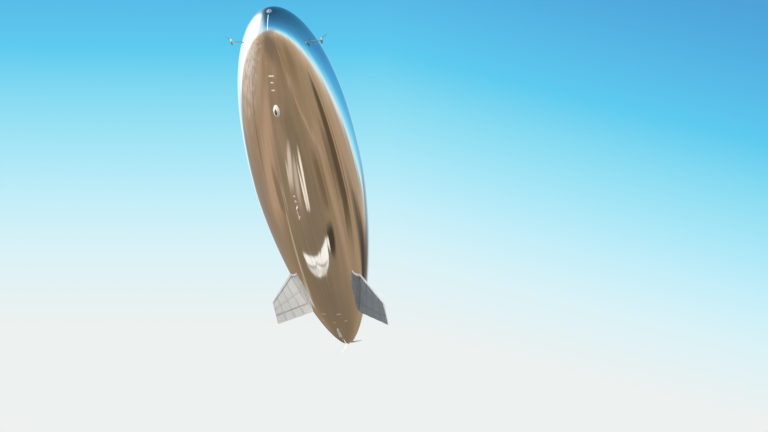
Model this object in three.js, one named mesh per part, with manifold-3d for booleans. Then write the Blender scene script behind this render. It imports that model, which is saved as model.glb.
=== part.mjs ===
// A solar-electric high-altitude airship: a silver film envelope with three tail fins, two outrigger
// propellers beside the nose and one propeller at the tail, built at half size.
// +X points to the nose, +Y to port and +Z up. The origin is on the envelope's axis, near its centre of
// volume.
import * as THREE from "three";
import { mergeVertices } from "three/addons/utils/BufferGeometryUtils.js";
import Module from "manifold-3d";

const wasm = await Module();
wasm.setup();

// Sizes are those of the real airship, in metres, unless a name ends in MM: those are millimetres of this
// model.
const MODEL_SCALE = 0.5;
const m = (metres) => metres * 1000 * MODEL_SCALE;
const rad = THREE.MathUtils.degToRad;

// Envelope
const HULL_LENGTH = 65;
const FINENESS = 4.185; // length over largest diameter
const HULL_RADIUS = HULL_LENGTH / FINENESS / 2;
const WIDEST_AT = 0.446; // share of the length behind the nose
const NOSE_FULLNESS = 2.34;
const TAIL_FULLNESS = 1.6;
const TAIL_TAPER = 0.665;
const ORIGIN_BEHIND_NOSE = 30;
const NOSE_RING_AT = 0.0105;
const TAIL_RING_AT = 63.9;
const WALL_MM = 10;
const GORE_FACETS = 48;
const HULL_RINGS = 32;

// Gap where one piece is seated on another, and the gaps round what turns
const SEAT_MM = 0.3;
const RUNNING_MM = 0.5;
const CLEAR_MM = 10;

// Fins, as distances behind the nose (at) and from the axis (radius)
const FIN = {
  leadRoot: { at: 46.75, radius: 6.07 },
  leadTip: { at: 50.72, radius: 9.66 },
  trailRoot: { at: 55.84, radius: 4.1 },
  trailTip: { at: 55.6, radius: 9.53 },
  hingeAt: 53.8,
  buried: 3.0,
  tip: 9.6,
  thickRoot: 0.3,
  thickTip: 0.18,
  thickestAt: 0.3,
  edgeShare: 0.2,
};
const FIN_TURNS = [
  { name: "top", degrees: 0 },
  { name: "port", degrees: -120 },
  { name: "starboard", degrees: 120 },
];
const HINGE = { radii: [5.3, 7.2, 9.1], width: 0.05, lug: 0.038, pin: 0.018, reach: 0.05, slot: 0.06 };
const SURFACE_ROOT_GAP_MM = 30;

// Propellers: disc station, hub radius, blade tip radius and widest chord
const TAIL_PROP = { at: 64.85, hub: 0.15, tip: 2.18, chord: 0.24, angles: [43, 163, 283] };
const SIDE_PROP = { at: 4.95, hub: 0.11, tip: 1.38, chord: 0.17 };
const OUTRIGGER = { at: 5.2, reach: 6.15, tube: 0.055, foot: 0.3, footHeight: 0.04, buried: 0.25 };
// Which side of the nose, as the sign of y, and how far its blades lean outwards from upright.
const SIDES = [
  { name: "port", side: 1, lean: 29 },
  { name: "starboard", side: -1, lean: 50 },
];

const FILM = { color: 0xc9ccd0, roughness: 0.12, metalness: 1 };
const CAP = { color: 0xd2d2d0, roughness: 0.4, metalness: 0.2 };
const FABRIC = { color: 0xdad6ce, roughness: 0.75, metalness: 0 };
const SHELL = { color: 0xf0eee9, roughness: 0.35, metalness: 0 };
const COMPOSITE = { color: 0xb9beb8, roughness: 0.45, metalness: 0 };
const ALLOY = { color: 0x9a9da1, roughness: 0.35, metalness: 0.9 };
const PATCH = { color: 0xd8d2c6, roughness: 0.6, metalness: 0 };
const CELLS = { color: 0x18222f, roughness: 0.3, metalness: 0.1 };
const LENS = { color: 0x121315, roughness: 0.1, metalness: 0 };

const part = new THREE.Group();

// A closed geometry as a solid for cutting and joining.
function solidOf(geometry) {
  const bare = geometry.index ? geometry.toNonIndexed() : geometry.clone();
  bare.deleteAttribute("normal");
  bare.deleteAttribute("uv");
  const merged = mergeVertices(bare, 1e-3);
  const triVerts = new Uint32Array(merged.index.array);
  const vertProperties = merged.attributes.position.array;
  return new wasm.Manifold(new wasm.Mesh({ numProp: 3, vertProperties, triVerts }));
}

// The surface of a solid.
function geometryOf(solid) {
  const made = solid.getMesh();
  const geometry = new THREE.BufferGeometry();
  geometry.setAttribute("position", new THREE.BufferAttribute(new Float32Array(made.vertProperties), 3));
  geometry.setIndex(new THREE.BufferAttribute(new Uint32Array(made.triVerts), 1));
  return geometry;
}

// Adds a solid to the part as one named mesh.
function addPiece(name, solid, finish) {
  const geometry = geometryOf(solid);
  geometry.computeVertexNormals();
  const mesh = new THREE.Mesh(geometry, new THREE.MeshStandardMaterial(finish));
  mesh.name = name;
  part.add(mesh);
}

// Model x of a point that many metres behind the nose.
const station = (at) => m(ORIGIN_BEHIND_NOSE - at);

// The envelope's radius, in metres, that many metres behind the nose.
function hullRadius(at) {
  const share = at / HULL_LENGTH;
  if (share < WIDEST_AT) {
    return HULL_RADIUS * Math.sqrt(1 - ((WIDEST_AT - share) / WIDEST_AT) ** NOSE_FULLNESS);
  }
  const aft = (share - WIDEST_AT) / (1 - WIDEST_AT);
  return HULL_RADIUS * (1 - aft ** TAIL_FULLNESS) ** TAIL_TAPER;
}

// Slope of the envelope's outline: radius gained for each metre aft.
function hullSlope(at) {
  const step = 0.001;
  return (hullRadius(at + step) - hullRadius(at - step)) / (2 * step);
}

// The envelope's ring stations, close together at both ends.
function ringStations() {
  const turn = (at) => Math.acos(1 - (2 * at) / HULL_LENGTH);
  const first = turn(NOSE_RING_AT);
  const last = turn(TAIL_RING_AT);
  const stations = [];
  for (let i = 0; i <= HULL_RINGS; i += 1) {
    const angle = first + ((last - first) * i) / HULL_RINGS;
    stations.push((HULL_LENGTH * (1 - Math.cos(angle))) / 2);
  }
  return stations;
}
const RINGS = ringStations();

// A point of the envelope's outline, moved outwards by so many model millimetres, as [x, radius].
function outlinePoint(at, outwards) {
  const slope = hullSlope(at);
  const length = Math.hypot(1, slope);
  return [station(at) + (outwards * slope) / length, m(hullRadius(at)) + outwards / length];
}

// A solid turned about the X axis from [x, radius] points in model millimetres, listed from nose to tail
// along the outside.
function turned(points, segments) {
  const profile = points.map(([x, radius]) => new THREE.Vector2(Math.max(radius, 0), x));
  profile.reverse();
  const lathe = new THREE.LatheGeometry(profile, segments);
  return solidOf(lathe.rotateZ(-Math.PI / 2));
}

// The space that the envelope fills, grown by so many model millimetres: it cuts the seats of what rests
// on it.
function hullBlock(outwards) {
  const skin = RINGS.map((at) => outlinePoint(at, outwards));
  const [noseX] = skin[0];
  const [tailX] = skin[skin.length - 1];
  return turned([[noseX, 0], ...skin, [tailX, 0]], GORE_FACETS);
}
const hullSeat = hullBlock(SEAT_MM);

// A straight piece of round rod between two points in model millimetres.
function rod(from, to, radius, segments = 16) {
  const span = new THREE.Vector3().subVectors(to, from);
  const geometry = new THREE.CylinderGeometry(radius, radius, span.length(), segments);
  const upward = new THREE.Vector3(0, 1, 0);
  const lean = new THREE.Quaternion().setFromUnitVectors(upward, span.clone().normalize());
  const middle = new THREE.Vector3().addVectors(from, to).multiplyScalar(0.5);
  geometry.applyMatrix4(new THREE.Matrix4().compose(middle, lean, new THREE.Vector3(1, 1, 1)));
  return solidOf(geometry);
}

// A solid skinned over convex sections that all have the same number of points.
function loft(sections) {
  const count = sections[0].length;
  const positions = sections.flat().flatMap((p) => [p.x, p.y, p.z]);
  const index = [];
  for (let k = 0; k + 1 < sections.length; k += 1) {
    for (let i = 0; i < count; i += 1) {
      const a = k * count + i;
      const b = k * count + ((i + 1) % count);
      index.push(a, b, a + count, b, b + count, a + count);
    }
  }
  const top = (sections.length - 1) * count;
  for (let i = 1; i + 1 < count; i += 1) {
    index.push(0, i + 1, i);
    index.push(top, top + i, top + i + 1);
  }
  const geometry = new THREE.BufferGeometry();
  geometry.setAttribute("position", new THREE.Float32BufferAttribute(positions, 3));
  geometry.setIndex(index);
  return solidOf(geometry);
}

// A box in model millimetres, from its lowest to its highest corner.
function box(low, high) {
  const size = new THREE.Vector3().subVectors(high, low);
  const geometry = new THREE.BoxGeometry(size.x, size.y, size.z);
  const middle = new THREE.Vector3().addVectors(low, high).multiplyScalar(0.5);
  geometry.translate(middle.x, middle.y, middle.z);
  return solidOf(geometry);
}

// Where a belly or back fitting sits: x forward along the skin, z out of it. The angle is from straight down,
// towards port.
function skinFrame(at, degrees) {
  const angle = rad(degrees);
  const outward = new THREE.Vector3(0, Math.sin(angle), -Math.cos(angle));
  const slope = hullSlope(at);
  const normal = outward.clone().add(new THREE.Vector3(slope, 0, 0)).normalize();
  const side = new THREE.Vector3(0, Math.cos(angle), Math.sin(angle)).negate();
  const ahead = new THREE.Vector3().crossVectors(side, normal);
  const place = outward.multiplyScalar(m(hullRadius(at)));
  place.x = station(at);
  return new THREE.Matrix4().makeBasis(ahead, side, normal).setPosition(place);
}

function makeEnvelope() {
  const outside = RINGS.map((at) => outlinePoint(at, 0));
  const inside = RINGS.map((at) => outlinePoint(at, -WALL_MM)).reverse();
  inside[0][0] = outside[outside.length - 1][0];
  inside[inside.length - 1][0] = outside[0][0];
  addPiece("envelope", turned([...outside, ...inside, outside[0]], GORE_FACETS), FILM);
}

// Mooring plate on the nose ring, with the spindle that the mast or the launch cart takes.
function makeNose() {
  const plate = { radius: 0.34, front: -0.05, lip: 0.03, back: 0.1 };
  const edge = m(plate.radius);
  const shape = [
    [station(plate.front), 0],
    [station(plate.front), m(plate.radius - plate.lip)],
    [station(plate.front) - m(plate.lip), edge],
    [station(plate.back), edge],
    [station(plate.back), 0],
  ];
  addPiece("nose_plate", turned(shape, GORE_FACETS).subtract(hullSeat), CAP);
  const front = station(plate.front) + SEAT_MM;
  const spindle = { flange: 0.14, flangeLong: 0.03, stem: 0.05, stemLong: 0.17, head: 0.09, headLong: 0.06 };
  const stemFront = front + m(spindle.flangeLong + spindle.stemLong);
  addPiece(
    "nose_spindle",
    turned(
      [
        [stemFront + m(spindle.headLong), 0],
        [stemFront + m(spindle.headLong), m(spindle.head)],
        [stemFront, m(spindle.head)],
        [stemFront, m(spindle.stem)],
        [front + m(spindle.flangeLong), m(spindle.stem)],
        [front + m(spindle.flangeLong), m(spindle.flange)],
        [front, m(spindle.flange)],
        [front, 0],
      ],
      24,
    ),
    ALLOY,
  );
}

// Where the straight edge from a fin's root to its tip lies, in metres behind the nose, at a distance from
// the axis.
function finEdge(root, tip, radius) {
  const share = (radius - root.radius) / (tip.radius - root.radius);
  return root.at + share * (tip.at - root.at);
}
const finLead = (radius) => finEdge(FIN.leadRoot, FIN.leadTip, radius);
const finTrail = (radius) => finEdge(FIN.trailRoot, FIN.trailTip, radius);

// Half thickness of the fin's section, in metres, at a distance from the axis and behind the nose.
function finHalf(radius, at) {
  const share = (at - finLead(radius)) / (finTrail(radius) - finLead(radius));
  const along = (radius - FIN.trailRoot.radius) / (FIN.tip - FIN.trailRoot.radius);
  const half = (FIN.thickRoot + (FIN.thickTip - FIN.thickRoot) * along) / 2;
  if (share < FIN.thickestAt) {
    return half * Math.sqrt(Math.max(0, 1 - ((FIN.thickestAt - share) / FIN.thickestAt) ** 2));
  }
  return half * (1 - ((1 - FIN.edgeShare) * (share - FIN.thickestAt)) / (1 - FIN.thickestAt));
}

// One section of the fixed fin, square across its back edge just ahead of the rudder's round nose.
function finSection(radius) {
  const lead = finLead(radius);
  const chord = finTrail(radius) - lead;
  const back = FIN.hingeAt - finHalf(radius, FIN.hingeAt) - CLEAR_MM / m(1);
  const noseShares = [0.01, 0.04, 0.1, 0.2, FIN.thickestAt];
  const places = [...noseShares.map((share) => lead + share * chord), back];
  const point = (at, half) => new THREE.Vector3(station(at), m(half), m(radius));
  const left = places.map((at) => point(at, finHalf(radius, at)));
  const right = places.map((at) => point(at, -finHalf(radius, at))).reverse();
  return [point(lead, 0), ...left, ...right];
}

// One section of the rudder, round at the hinge line and thin at its back edge.
function rudderSection(radius) {
  const nose = finHalf(radius, FIN.hingeAt);
  const trail = finTrail(radius);
  const points = [];
  const steps = 8;
  for (let i = 0; i <= steps; i += 1) {
    const angle = rad(90 - (180 * i) / steps);
    const x = station(FIN.hingeAt) + m(nose * Math.cos(angle));
    points.push(new THREE.Vector3(x, m(nose * Math.sin(angle)), m(radius)));
  }
  const edge = finHalf(radius, trail);
  points.push(new THREE.Vector3(station(trail), m(-edge), m(radius)));
  points.push(new THREE.Vector3(station(trail), m(edge), m(radius)));
  return points.reverse();
}

// The top fin and its rudder; the other two are the same, turned about the axis.
function finSolids() {
  let fin = loft([finSection(FIN.buried), finSection(FIN.tip)]).subtract(hullSeat);
  const rudderClear = hullBlock(SURFACE_ROOT_GAP_MM);
  let rudder = loft([rudderSection(FIN.buried), rudderSection(FIN.tip)]).subtract(rudderClear);
  const hingeX = station(FIN.hingeAt);
  for (const radius of HINGE.radii) {
    const at = (offset, across) => new THREE.Vector3(hingeX, m(across), m(radius + offset));
    const nose = finHalf(radius, FIN.hingeAt);
    const lug = box(
      new THREE.Vector3(hingeX, m(-HINGE.lug), m(radius - HINGE.width / 2)),
      new THREE.Vector3(hingeX + m(nose + HINGE.reach), m(HINGE.lug), m(radius + HINGE.width / 2)),
    )
      .add(rod(at(-HINGE.width / 2, 0), at(HINGE.width / 2, 0), m(HINGE.lug)))
      .subtract(rod(at(-HINGE.width, 0), at(HINGE.width, 0), m(HINGE.pin) + RUNNING_MM, 24));
    fin = fin.add(lug);
    const slotHalf = m(HINGE.width / 2) + CLEAR_MM;
    const slot = box(
      new THREE.Vector3(hingeX - m(HINGE.slot), m(-FIN.thickRoot), m(radius) - slotHalf),
      new THREE.Vector3(hingeX + m(nose + HINGE.slot), m(FIN.thickRoot), m(radius) + slotHalf),
    );
    rudder = rudder.subtract(slot).add(rod(at(-HINGE.reach, 0), at(HINGE.reach, 0), m(HINGE.pin), 24));
  }
  return { fin, rudder };
}

// The solid turned about the X axis: the tail's three fins and the propeller blades repeat this way.
function spun(solid, degrees) {
  return solidOf(geometryOf(solid).rotateX(rad(degrees)));
}

function makeFins() {
  const { fin, rudder } = finSolids();
  for (const { name, degrees } of FIN_TURNS) {
    addPiece(`fin_${name}`, spun(fin, degrees), FABRIC);
    addPiece(`rudder_${name}`, spun(rudder, degrees), FABRIC);
  }
}

// A blade that stands up along +Z from the propeller's centre, twisted and tapered to its tip.
// Columns: share of the tip radius, share of the widest chord, thickness over chord, pitch in degrees.
const BLADE_SECTIONS = [
  [0.04, 0.3, 0.75, 50],
  [0.1, 0.42, 0.45, 45],
  [0.24, 1, 0.16, 34],
  [0.45, 0.95, 0.12, 24],
  [0.7, 0.72, 0.1, 17],
  [0.9, 0.46, 0.1, 13],
  [1, 0.2, 0.12, 11],
];
// The blade's section as shares of half the chord and half the thickness.
const BLADE_OUTLINE = [
  [1, 0],
  [0.75, 0.7],
  [0.3, 1],
  [-0.3, 0.8],
  [-1, 0.12],
  [-1, -0.12],
  [-0.3, -0.5],
  [0.3, -0.6],
  [0.75, -0.45],
];
function bladeSolid(prop) {
  return loft(
    BLADE_SECTIONS.map(([share, width, thick, pitch]) => {
      const half = m(prop.chord * width) / 2;
      const turn = rad(pitch);
      return BLADE_OUTLINE.map(([along, up]) => {
        const chordwise = along * half;
        const rise = up * half * thick;
        const x = chordwise * Math.sin(turn) + rise * Math.cos(turn);
        const y = -chordwise * Math.cos(turn) + rise * Math.sin(turn);
        return new THREE.Vector3(x, y, m(prop.tip * share));
      });
    }),
  );
}

// The spinner's sizes as shares of the hub's radius: where its dome starts ahead of the disc and how long the
// dome is, how far its back lies behind the disc, and its shaft's radius.
const SPINNER = { domeAt: 0.5, dome: 1.5, back: 0.9, shaft: 0.3, domeSteps: 6 };

// Spinner with its shaft, in the propeller's own place: nose is +1 for one that faces forward, -1 for aft.
function spinnerSolid(prop, nose, grown = 0) {
  const hub = m(prop.hub) + grown;
  const back = -m(prop.hub) * SPINNER.back - grown;
  const shaft = { radius: m(prop.hub) * SPINNER.shaft + grown, long: m(prop.hub) };
  const points = [];
  for (let i = 0; i <= SPINNER.domeSteps; i += 1) {
    const angle = rad(90 - (90 * i) / SPINNER.domeSteps);
    const x = m(prop.hub) * SPINNER.domeAt + hub * SPINNER.dome * Math.sin(angle);
    points.push([x, hub * Math.cos(angle)]);
  }
  points.push([back, hub], [back, shaft.radius], [back - shaft.long, shaft.radius], [back - shaft.long, 0]);
  const facing = points.map(([x, radius]) => [x * nose, radius]);
  if (nose < 0) facing.reverse();
  return turned(facing, 24);
}

// Electric motor housing: a bored front face for the shaft, then a streamlined or plain body.
function motorSolid(prop, nose, body, grown = 0) {
  const face = -m(prop.hub) * SPINNER.back - CLEAR_MM;
  const bore = m(prop.hub) * SPINNER.shaft + RUNNING_MM;
  const deep = m(prop.hub) + 2 * RUNNING_MM;
  const outside = body.map(([behind, radius]) => [face - m(behind), radius > 0 ? m(radius) + grown : 0]);
  const mouth =
    grown > 0
      ? [[face, 0]]
      : [
          [face - deep, 0],
          [face - deep, bore],
          [face, bore],
        ];
  const points = [...mouth, ...outside];
  const facing = points.map(([x, radius]) => [x * nose, radius]);
  if (nose < 0) facing.reverse();
  return turned(facing, 24);
}

// A solid moved to its place in model millimetres.
function moved(solid, x, y, z) {
  return solidOf(geometryOf(solid).translate(x, y, z));
}

// Adds a propeller's blades, numbered from 1, each turned about the shaft and seated on the spinner.
function addBlades(name, prop, nose, angles, x, y) {
  const blade = bladeSolid(prop);
  const seat = spinnerSolid(prop, nose, SEAT_MM);
  angles.forEach((angle, i) => {
    addPiece(`${name}_${i + 1}`, moved(spun(blade, angle).subtract(seat), x, y, 0), COMPOSITE);
  });
}

// Tail cone over the envelope's aft ring, the motor behind it and a three-bladed pusher propeller.
function makeTail() {
  const cone = { front: 63.6, lip: 0.02, waistAt: 64.22, waist: 0.66, back: 64.48, backRadius: 0.28 };
  const shape = [
    [station(cone.front), 0],
    [station(cone.front), m(hullRadius(cone.front) + cone.lip)],
    [station(TAIL_RING_AT), m(hullRadius(TAIL_RING_AT) + cone.lip)],
    [station(cone.waistAt), m(cone.waist)],
    [station(cone.back), m(cone.backRadius)],
    [station(cone.back), 0],
  ];
  addPiece("tail_cone", turned(shape, GORE_FACETS).subtract(hullSeat), FILM);
  const x = station(TAIL_PROP.at);
  const face = TAIL_PROP.hub * SPINNER.back + CLEAR_MM / m(1);
  const motor = { radius: 0.19, chamfer: 0.03, long: TAIL_PROP.at - face - cone.back - SEAT_MM / m(1) };
  const body = [
    [0, motor.radius - motor.chamfer],
    [motor.chamfer, motor.radius],
    [motor.long, motor.radius],
    [motor.long, 0],
  ];
  addPiece("tail_motor", moved(motorSolid(TAIL_PROP, -1, body), x, 0, 0), ALLOY);
  addPiece("tail_spinner", moved(spinnerSolid(TAIL_PROP, -1), x, 0, 0), SHELL);
  addBlades("tail_blade", TAIL_PROP, -1, TAIL_PROP.angles, x, 0);
}

// The side motor pod's outline: metres behind its front face and radius.
const POD_BODY = [
  [0, 0.12],
  [0.04, 0.15],
  [0.32, 0.155],
  [0.55, 0.1],
  [0.72, 0],
];

// Outrigger booms beside the nose, each with a motor pod and a two-bladed tractor propeller.
function makeSidePropulsion() {
  const pod = motorSolid(SIDE_PROP, 1, POD_BODY);
  const podSeat = motorSolid(SIDE_PROP, 1, POD_BODY, SEAT_MM);
  const x = station(SIDE_PROP.at);
  const skin = hullRadius(OUTRIGGER.at);
  const skinLean = Math.atan(hullSlope(OUTRIGGER.at));
  for (const { name, side, lean } of SIDES) {
    const y = side * m(OUTRIGGER.reach);
    const boomAt = (radius) => new THREE.Vector3(station(OUTRIGGER.at), side * m(radius), 0);
    const buried = boomAt(skin - OUTRIGGER.buried);
    const foot = rod(buried, boomAt(skin + OUTRIGGER.footHeight), m(OUTRIGGER.foot), 24);
    const boom = rod(buried, boomAt(OUTRIGGER.reach), m(OUTRIGGER.tube))
      .add(tiltedFoot(foot, boomAt(skin), side * -skinLean))
      .subtract(hullSeat)
      .subtract(moved(podSeat, x, y, 0));
    addPiece(`outrigger_${name}`, boom, COMPOSITE);
    addPiece(`motor_pod_${name}`, moved(pod, x, y, 0), SHELL);
    addPiece(`spinner_${name}`, moved(spinnerSolid(SIDE_PROP, 1), x, y, 0), SHELL);
    addBlades(`blade_${name}`, SIDE_PROP, 1, [-side * lean, 180 - side * lean], x, y);
  }
}

// The outrigger's round foot, leant so that it lies flat on the sloping skin.
function tiltedFoot(foot, centre, lean) {
  const geometry = geometryOf(foot).translate(-centre.x, -centre.y, -centre.z);
  return solidOf(geometry.rotateZ(lean).translate(centre.x, centre.y, centre.z));
}

// Equipment pod under the nose: half of an ellipsoid on a thin flange, with a dark sensor ball in its floor.
const GONDOLA = { at: 11.75, long: 0.88, wide: 0.36, deep: 0.5, rim: 0.06, rimHeight: 0.03, buried: 0.37 };
const SENSOR = { ahead: -0.05, radius: 0.17, sunk: 0.06 };
function makeGondola() {
  const place = skinFrame(GONDOLA.at, 0);
  const { long, wide, deep, rim, rimHeight, buried } = GONDOLA;
  const shell = new THREE.SphereGeometry(1, 32, 20).scale(m(long), m(wide), m(deep)).applyMatrix4(place);
  const ball = (grown) => {
    const sphere = new THREE.SphereGeometry(m(SENSOR.radius) + grown, 24, 16);
    return solidOf(sphere.translate(m(SENSOR.ahead), 0, m(deep - SENSOR.sunk)).applyMatrix4(place));
  };
  const disc = (edge, top) => {
    const height = m(rimHeight + buried);
    const plate = new THREE.CylinderGeometry(1, 1, 1, 40).rotateX(Math.PI / 2);
    plate.scale(m(long + edge), m(wide + edge), height).translate(0, 0, top - height / 2);
    return solidOf(plate.applyMatrix4(place));
  };
  addPiece("gondola_flange", disc(rim, m(rimHeight)).subtract(hullSeat), COMPOSITE);
  const seat = disc(2 * rim, m(rimHeight) + SEAT_MM);
  addPiece("gondola_shell", solidOf(shell).subtract(seat).subtract(hullSeat).subtract(ball(SEAT_MM)), SHELL);
  addPiece("sensor_ball", ball(0), LENS);
}

// Flat load patches and small fittings on the skin. Columns: name, metres behind the nose, degrees from the
// keel line towards port, length, width, height, all in metres.
const PATCHES = [
  ["keel_patch_1", 6.7, 0, 0.2, 0.72, 0.05],
  ["keel_patch_2", 7.6, 0, 0.18, 0.42, 0.05],
  ["keel_patch_3", 8.7, 0, 0.18, 0.44, 0.05],
  ["keel_vent_1", 26.4, 0, 0.26, 0.22, 0.12],
  ["keel_vent_2", 27.4, 0, 0.36, 0.24, 0.12],
  ["tail_patch_1", 53.8, -14, 0.22, 0.62, 0.04],
  ["tail_patch_2", 53.8, 14, 0.22, 0.62, 0.04],
  ["tail_patch_3", 56.1, -25, 0.3, 0.4, 0.04],
  ["tail_patch_4", 56.1, 0, 0.3, 0.4, 0.04],
  ["tail_patch_5", 56.1, 25, 0.3, 0.4, 0.04],
];
const PATCH_BURIED = 0.08;
function makePatches() {
  for (const [name, at, degrees, long, wide, high] of PATCHES) {
    const geometry = new THREE.BoxGeometry(m(long), m(wide), m(high + PATCH_BURIED));
    geometry.translate(0, 0, m(high - PATCH_BURIED) / 2).applyMatrix4(skinFrame(at, degrees));
    addPiece(name, solidOf(geometry).subtract(hullSeat), PATCH);
  }
}

// Antenna boom held off the keel line by two feet.
const BOOM = { at: 29.5, half: 1.08, stand: 0.22, tube: 0.06, foot: 0.07, footInset: 0.12, buried: 0.1 };
function makeKeelBoom() {
  const place = skinFrame(BOOM.at, 0);
  const at = (x, z) => new THREE.Vector3(m(x), 0, m(z)).applyMatrix4(place);
  let boom = rod(at(-BOOM.half, BOOM.stand), at(BOOM.half, BOOM.stand), m(BOOM.tube), 12);
  for (const x of [BOOM.footInset - BOOM.half, BOOM.half - BOOM.footInset]) {
    boom = boom.add(rod(at(x, -BOOM.buried), at(x, BOOM.stand), m(BOOM.foot), 12));
  }
  addPiece("keel_boom", boom.subtract(hullSeat), SHELL);
}

// Long narrow fairing on the keel line ahead of the tail cone, wider towards the tail.
// Columns: metres ahead of its middle, half width, height.
const FAIRING_AT = 59.4;
const FAIRING_BURIED = 0.3;
const FAIRING = [
  [1.45, 0.04, 0.04],
  [1.2, 0.11, 0.16],
  [0, 0.15, 0.24],
  [-1.15, 0.21, 0.28],
  [-1.45, 0.12, 0.1],
];
function makeTailFairing() {
  const place = skinFrame(FAIRING_AT, 0);
  const sections = FAIRING.map(([x, half, high]) => {
    const shoulder = high / 2;
    const crown = half * 0.6;
    const outline = [
      [half, -FAIRING_BURIED],
      [half, shoulder],
      [crown, high],
      [-crown, high],
      [-half, shoulder],
      [-half, -FAIRING_BURIED],
    ];
    return outline.map(([y, z]) => new THREE.Vector3(m(x), m(y), m(z)).applyMatrix4(place));
  });
  addPiece("tail_fairing", loft(sections.reverse()).subtract(hullSeat), SHELL);
}

// Flexible solar panels along the back, each laid on the envelope's own facets.
// Columns: name, first ring, last ring, first facet, last facet, counted from the top line towards starboard.
const SOLAR_BLOCKS = [
  ["solar_port_1", 9, 14, -6, 0],
  ["solar_starboard_1", 9, 14, 0, 6],
  ["solar_port_2", 14, 20, -6, 0],
  ["solar_starboard_2", 14, 20, 0, 6],
];
const PANEL_MM = 8;
const PANEL_MARGIN = 0.12; // share of a facet or ring left bare round each panel
function panelSolid(firstRing, lastRing, firstFacet, lastFacet) {
  const numbers = (first, last) => Array.from({ length: last - first + 1 }, (_, i) => first + i);
  const between = ([a, b], [c, d]) => [a + (c - a) * PANEL_MARGIN, b + (d - b) * PANEL_MARGIN];
  const drawnIn = (points) => {
    const last = points.length - 1;
    const inner = points.slice(1, last);
    return [between(points[0], points[1]), ...inner, between(points[last], points[last - 1])];
  };
  const turns = numbers(firstFacet, lastFacet).map((facet) => (2 * Math.PI * facet) / GORE_FACETS);
  const layer = (outwards) => {
    const outline = numbers(firstRing, lastRing).map((ring) => outlinePoint(RINGS[ring], outwards));
    return drawnIn(outline).map(([x, radius]) => {
      const row = turns.map((turn) => [-radius * Math.sin(turn), radius * Math.cos(turn)]);
      return drawnIn(row).map(([y, z]) => new THREE.Vector3(x, y, z));
    });
  };
  return slab(layer(SEAT_MM + PANEL_MM), layer(2 * SEAT_MM));
}

// A closed slab between two grids of points of the same size, the first on the outside.
function slab(outer, inner) {
  const rows = outer.length;
  const columns = outer[0].length;
  const positions = [outer, inner].flat(2).flatMap((p) => [p.x, p.y, p.z]);
  const at = (layer, i, j) => layer * rows * columns + i * columns + j;
  const index = [];
  const quad = (a, b, c, d) => index.push(a, c, b, a, d, c);
  for (let i = 0; i + 1 < rows; i += 1) {
    for (let j = 0; j + 1 < columns; j += 1) {
      quad(at(0, i, j), at(0, i, j + 1), at(0, i + 1, j + 1), at(0, i + 1, j));
      quad(at(1, i, j), at(1, i + 1, j), at(1, i + 1, j + 1), at(1, i, j + 1));
    }
  }
  const rim = [];
  for (let j = 0; j + 1 < columns; j += 1) rim.push([0, j]);
  for (let i = 0; i + 1 < rows; i += 1) rim.push([i, columns - 1]);
  for (let j = columns - 1; j > 0; j -= 1) rim.push([rows - 1, j]);
  for (let i = rows - 1; i > 0; i -= 1) rim.push([i, 0]);
  rim.forEach(([i, j], k) => {
    const [p, q] = rim[(k + 1) % rim.length];
    quad(at(0, p, q), at(0, i, j), at(1, i, j), at(1, p, q));
  });
  const geometry = new THREE.BufferGeometry();
  geometry.setAttribute("position", new THREE.Float32BufferAttribute(positions, 3));
  geometry.setIndex(index);
  return solidOf(geometry);
}

function makeSolarPanels() {
  for (const [name, ...span] of SOLAR_BLOCKS) {
    addPiece(name, panelSolid(...span), CELLS);
  }
}

makeEnvelope();
makeNose();
makeFins();
makeTail();
makeSidePropulsion();
makeGondola();
makePatches();
makeKeelBoom();
makeTailFairing();
makeSolarPanels();

export default part;
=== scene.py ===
# A silver high-altitude airship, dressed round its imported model.
# Metres in the model's own frame: +X to the nose, +Y to port, +Z up. "at" is metres behind the nose.
import math

import bmesh
import bpy
import numpy as np
from mathutils import Matrix, Vector


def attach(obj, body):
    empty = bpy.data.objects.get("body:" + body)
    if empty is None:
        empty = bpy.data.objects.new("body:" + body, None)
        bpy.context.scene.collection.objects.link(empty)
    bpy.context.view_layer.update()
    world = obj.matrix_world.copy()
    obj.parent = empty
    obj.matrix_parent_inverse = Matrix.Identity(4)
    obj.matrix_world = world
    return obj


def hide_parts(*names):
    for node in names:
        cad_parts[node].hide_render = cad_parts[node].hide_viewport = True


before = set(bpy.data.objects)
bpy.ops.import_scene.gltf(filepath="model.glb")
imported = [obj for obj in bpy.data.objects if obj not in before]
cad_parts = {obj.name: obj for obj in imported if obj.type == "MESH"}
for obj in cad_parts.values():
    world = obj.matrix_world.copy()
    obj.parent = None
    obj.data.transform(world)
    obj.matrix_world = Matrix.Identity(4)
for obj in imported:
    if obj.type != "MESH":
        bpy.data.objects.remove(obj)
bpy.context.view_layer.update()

# Camera. The photograph shows the airship standing nose-up with the camera almost level. Here the airship is
# level, so the camera looks up at it from ahead and below. SKYWARD is the photograph's upright in this frame.
NOSE_UP = math.radians(41.98)
LIST = math.radians(-0.62)
SKYWARD = Vector((math.sin(NOSE_UP), math.sin(LIST), math.cos(NOSE_UP))).normalized()
CAMERA_AT = Vector((107.49, 38.67, -111.26))
CAMERA_AIM = Vector((-2.77, 5.15, -1.19))
SENSOR_WIDTH = 36
FOCAL_LENGTH = 106.86
FARTHEST_SEEN = 4000

camera = bpy.data.objects.new("camera", bpy.data.cameras.new("camera"))
bpy.context.scene.collection.objects.link(camera)
bpy.context.scene.camera = camera
ahead = (CAMERA_AIM - CAMERA_AT).normalized()
across = ahead.cross(SKYWARD).normalized()
upright = across.cross(ahead)
camera.matrix_world = Matrix.Translation(CAMERA_AT) @ Matrix((across, upright, -ahead)).transposed().to_4x4()
camera.data.sensor_width = SENSOR_WIDTH
camera.data.lens = FOCAL_LENGTH
camera.data.clip_end = FARTHEST_SEEN
bpy.context.scene.view_settings.view_transform = "Standard"


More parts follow.
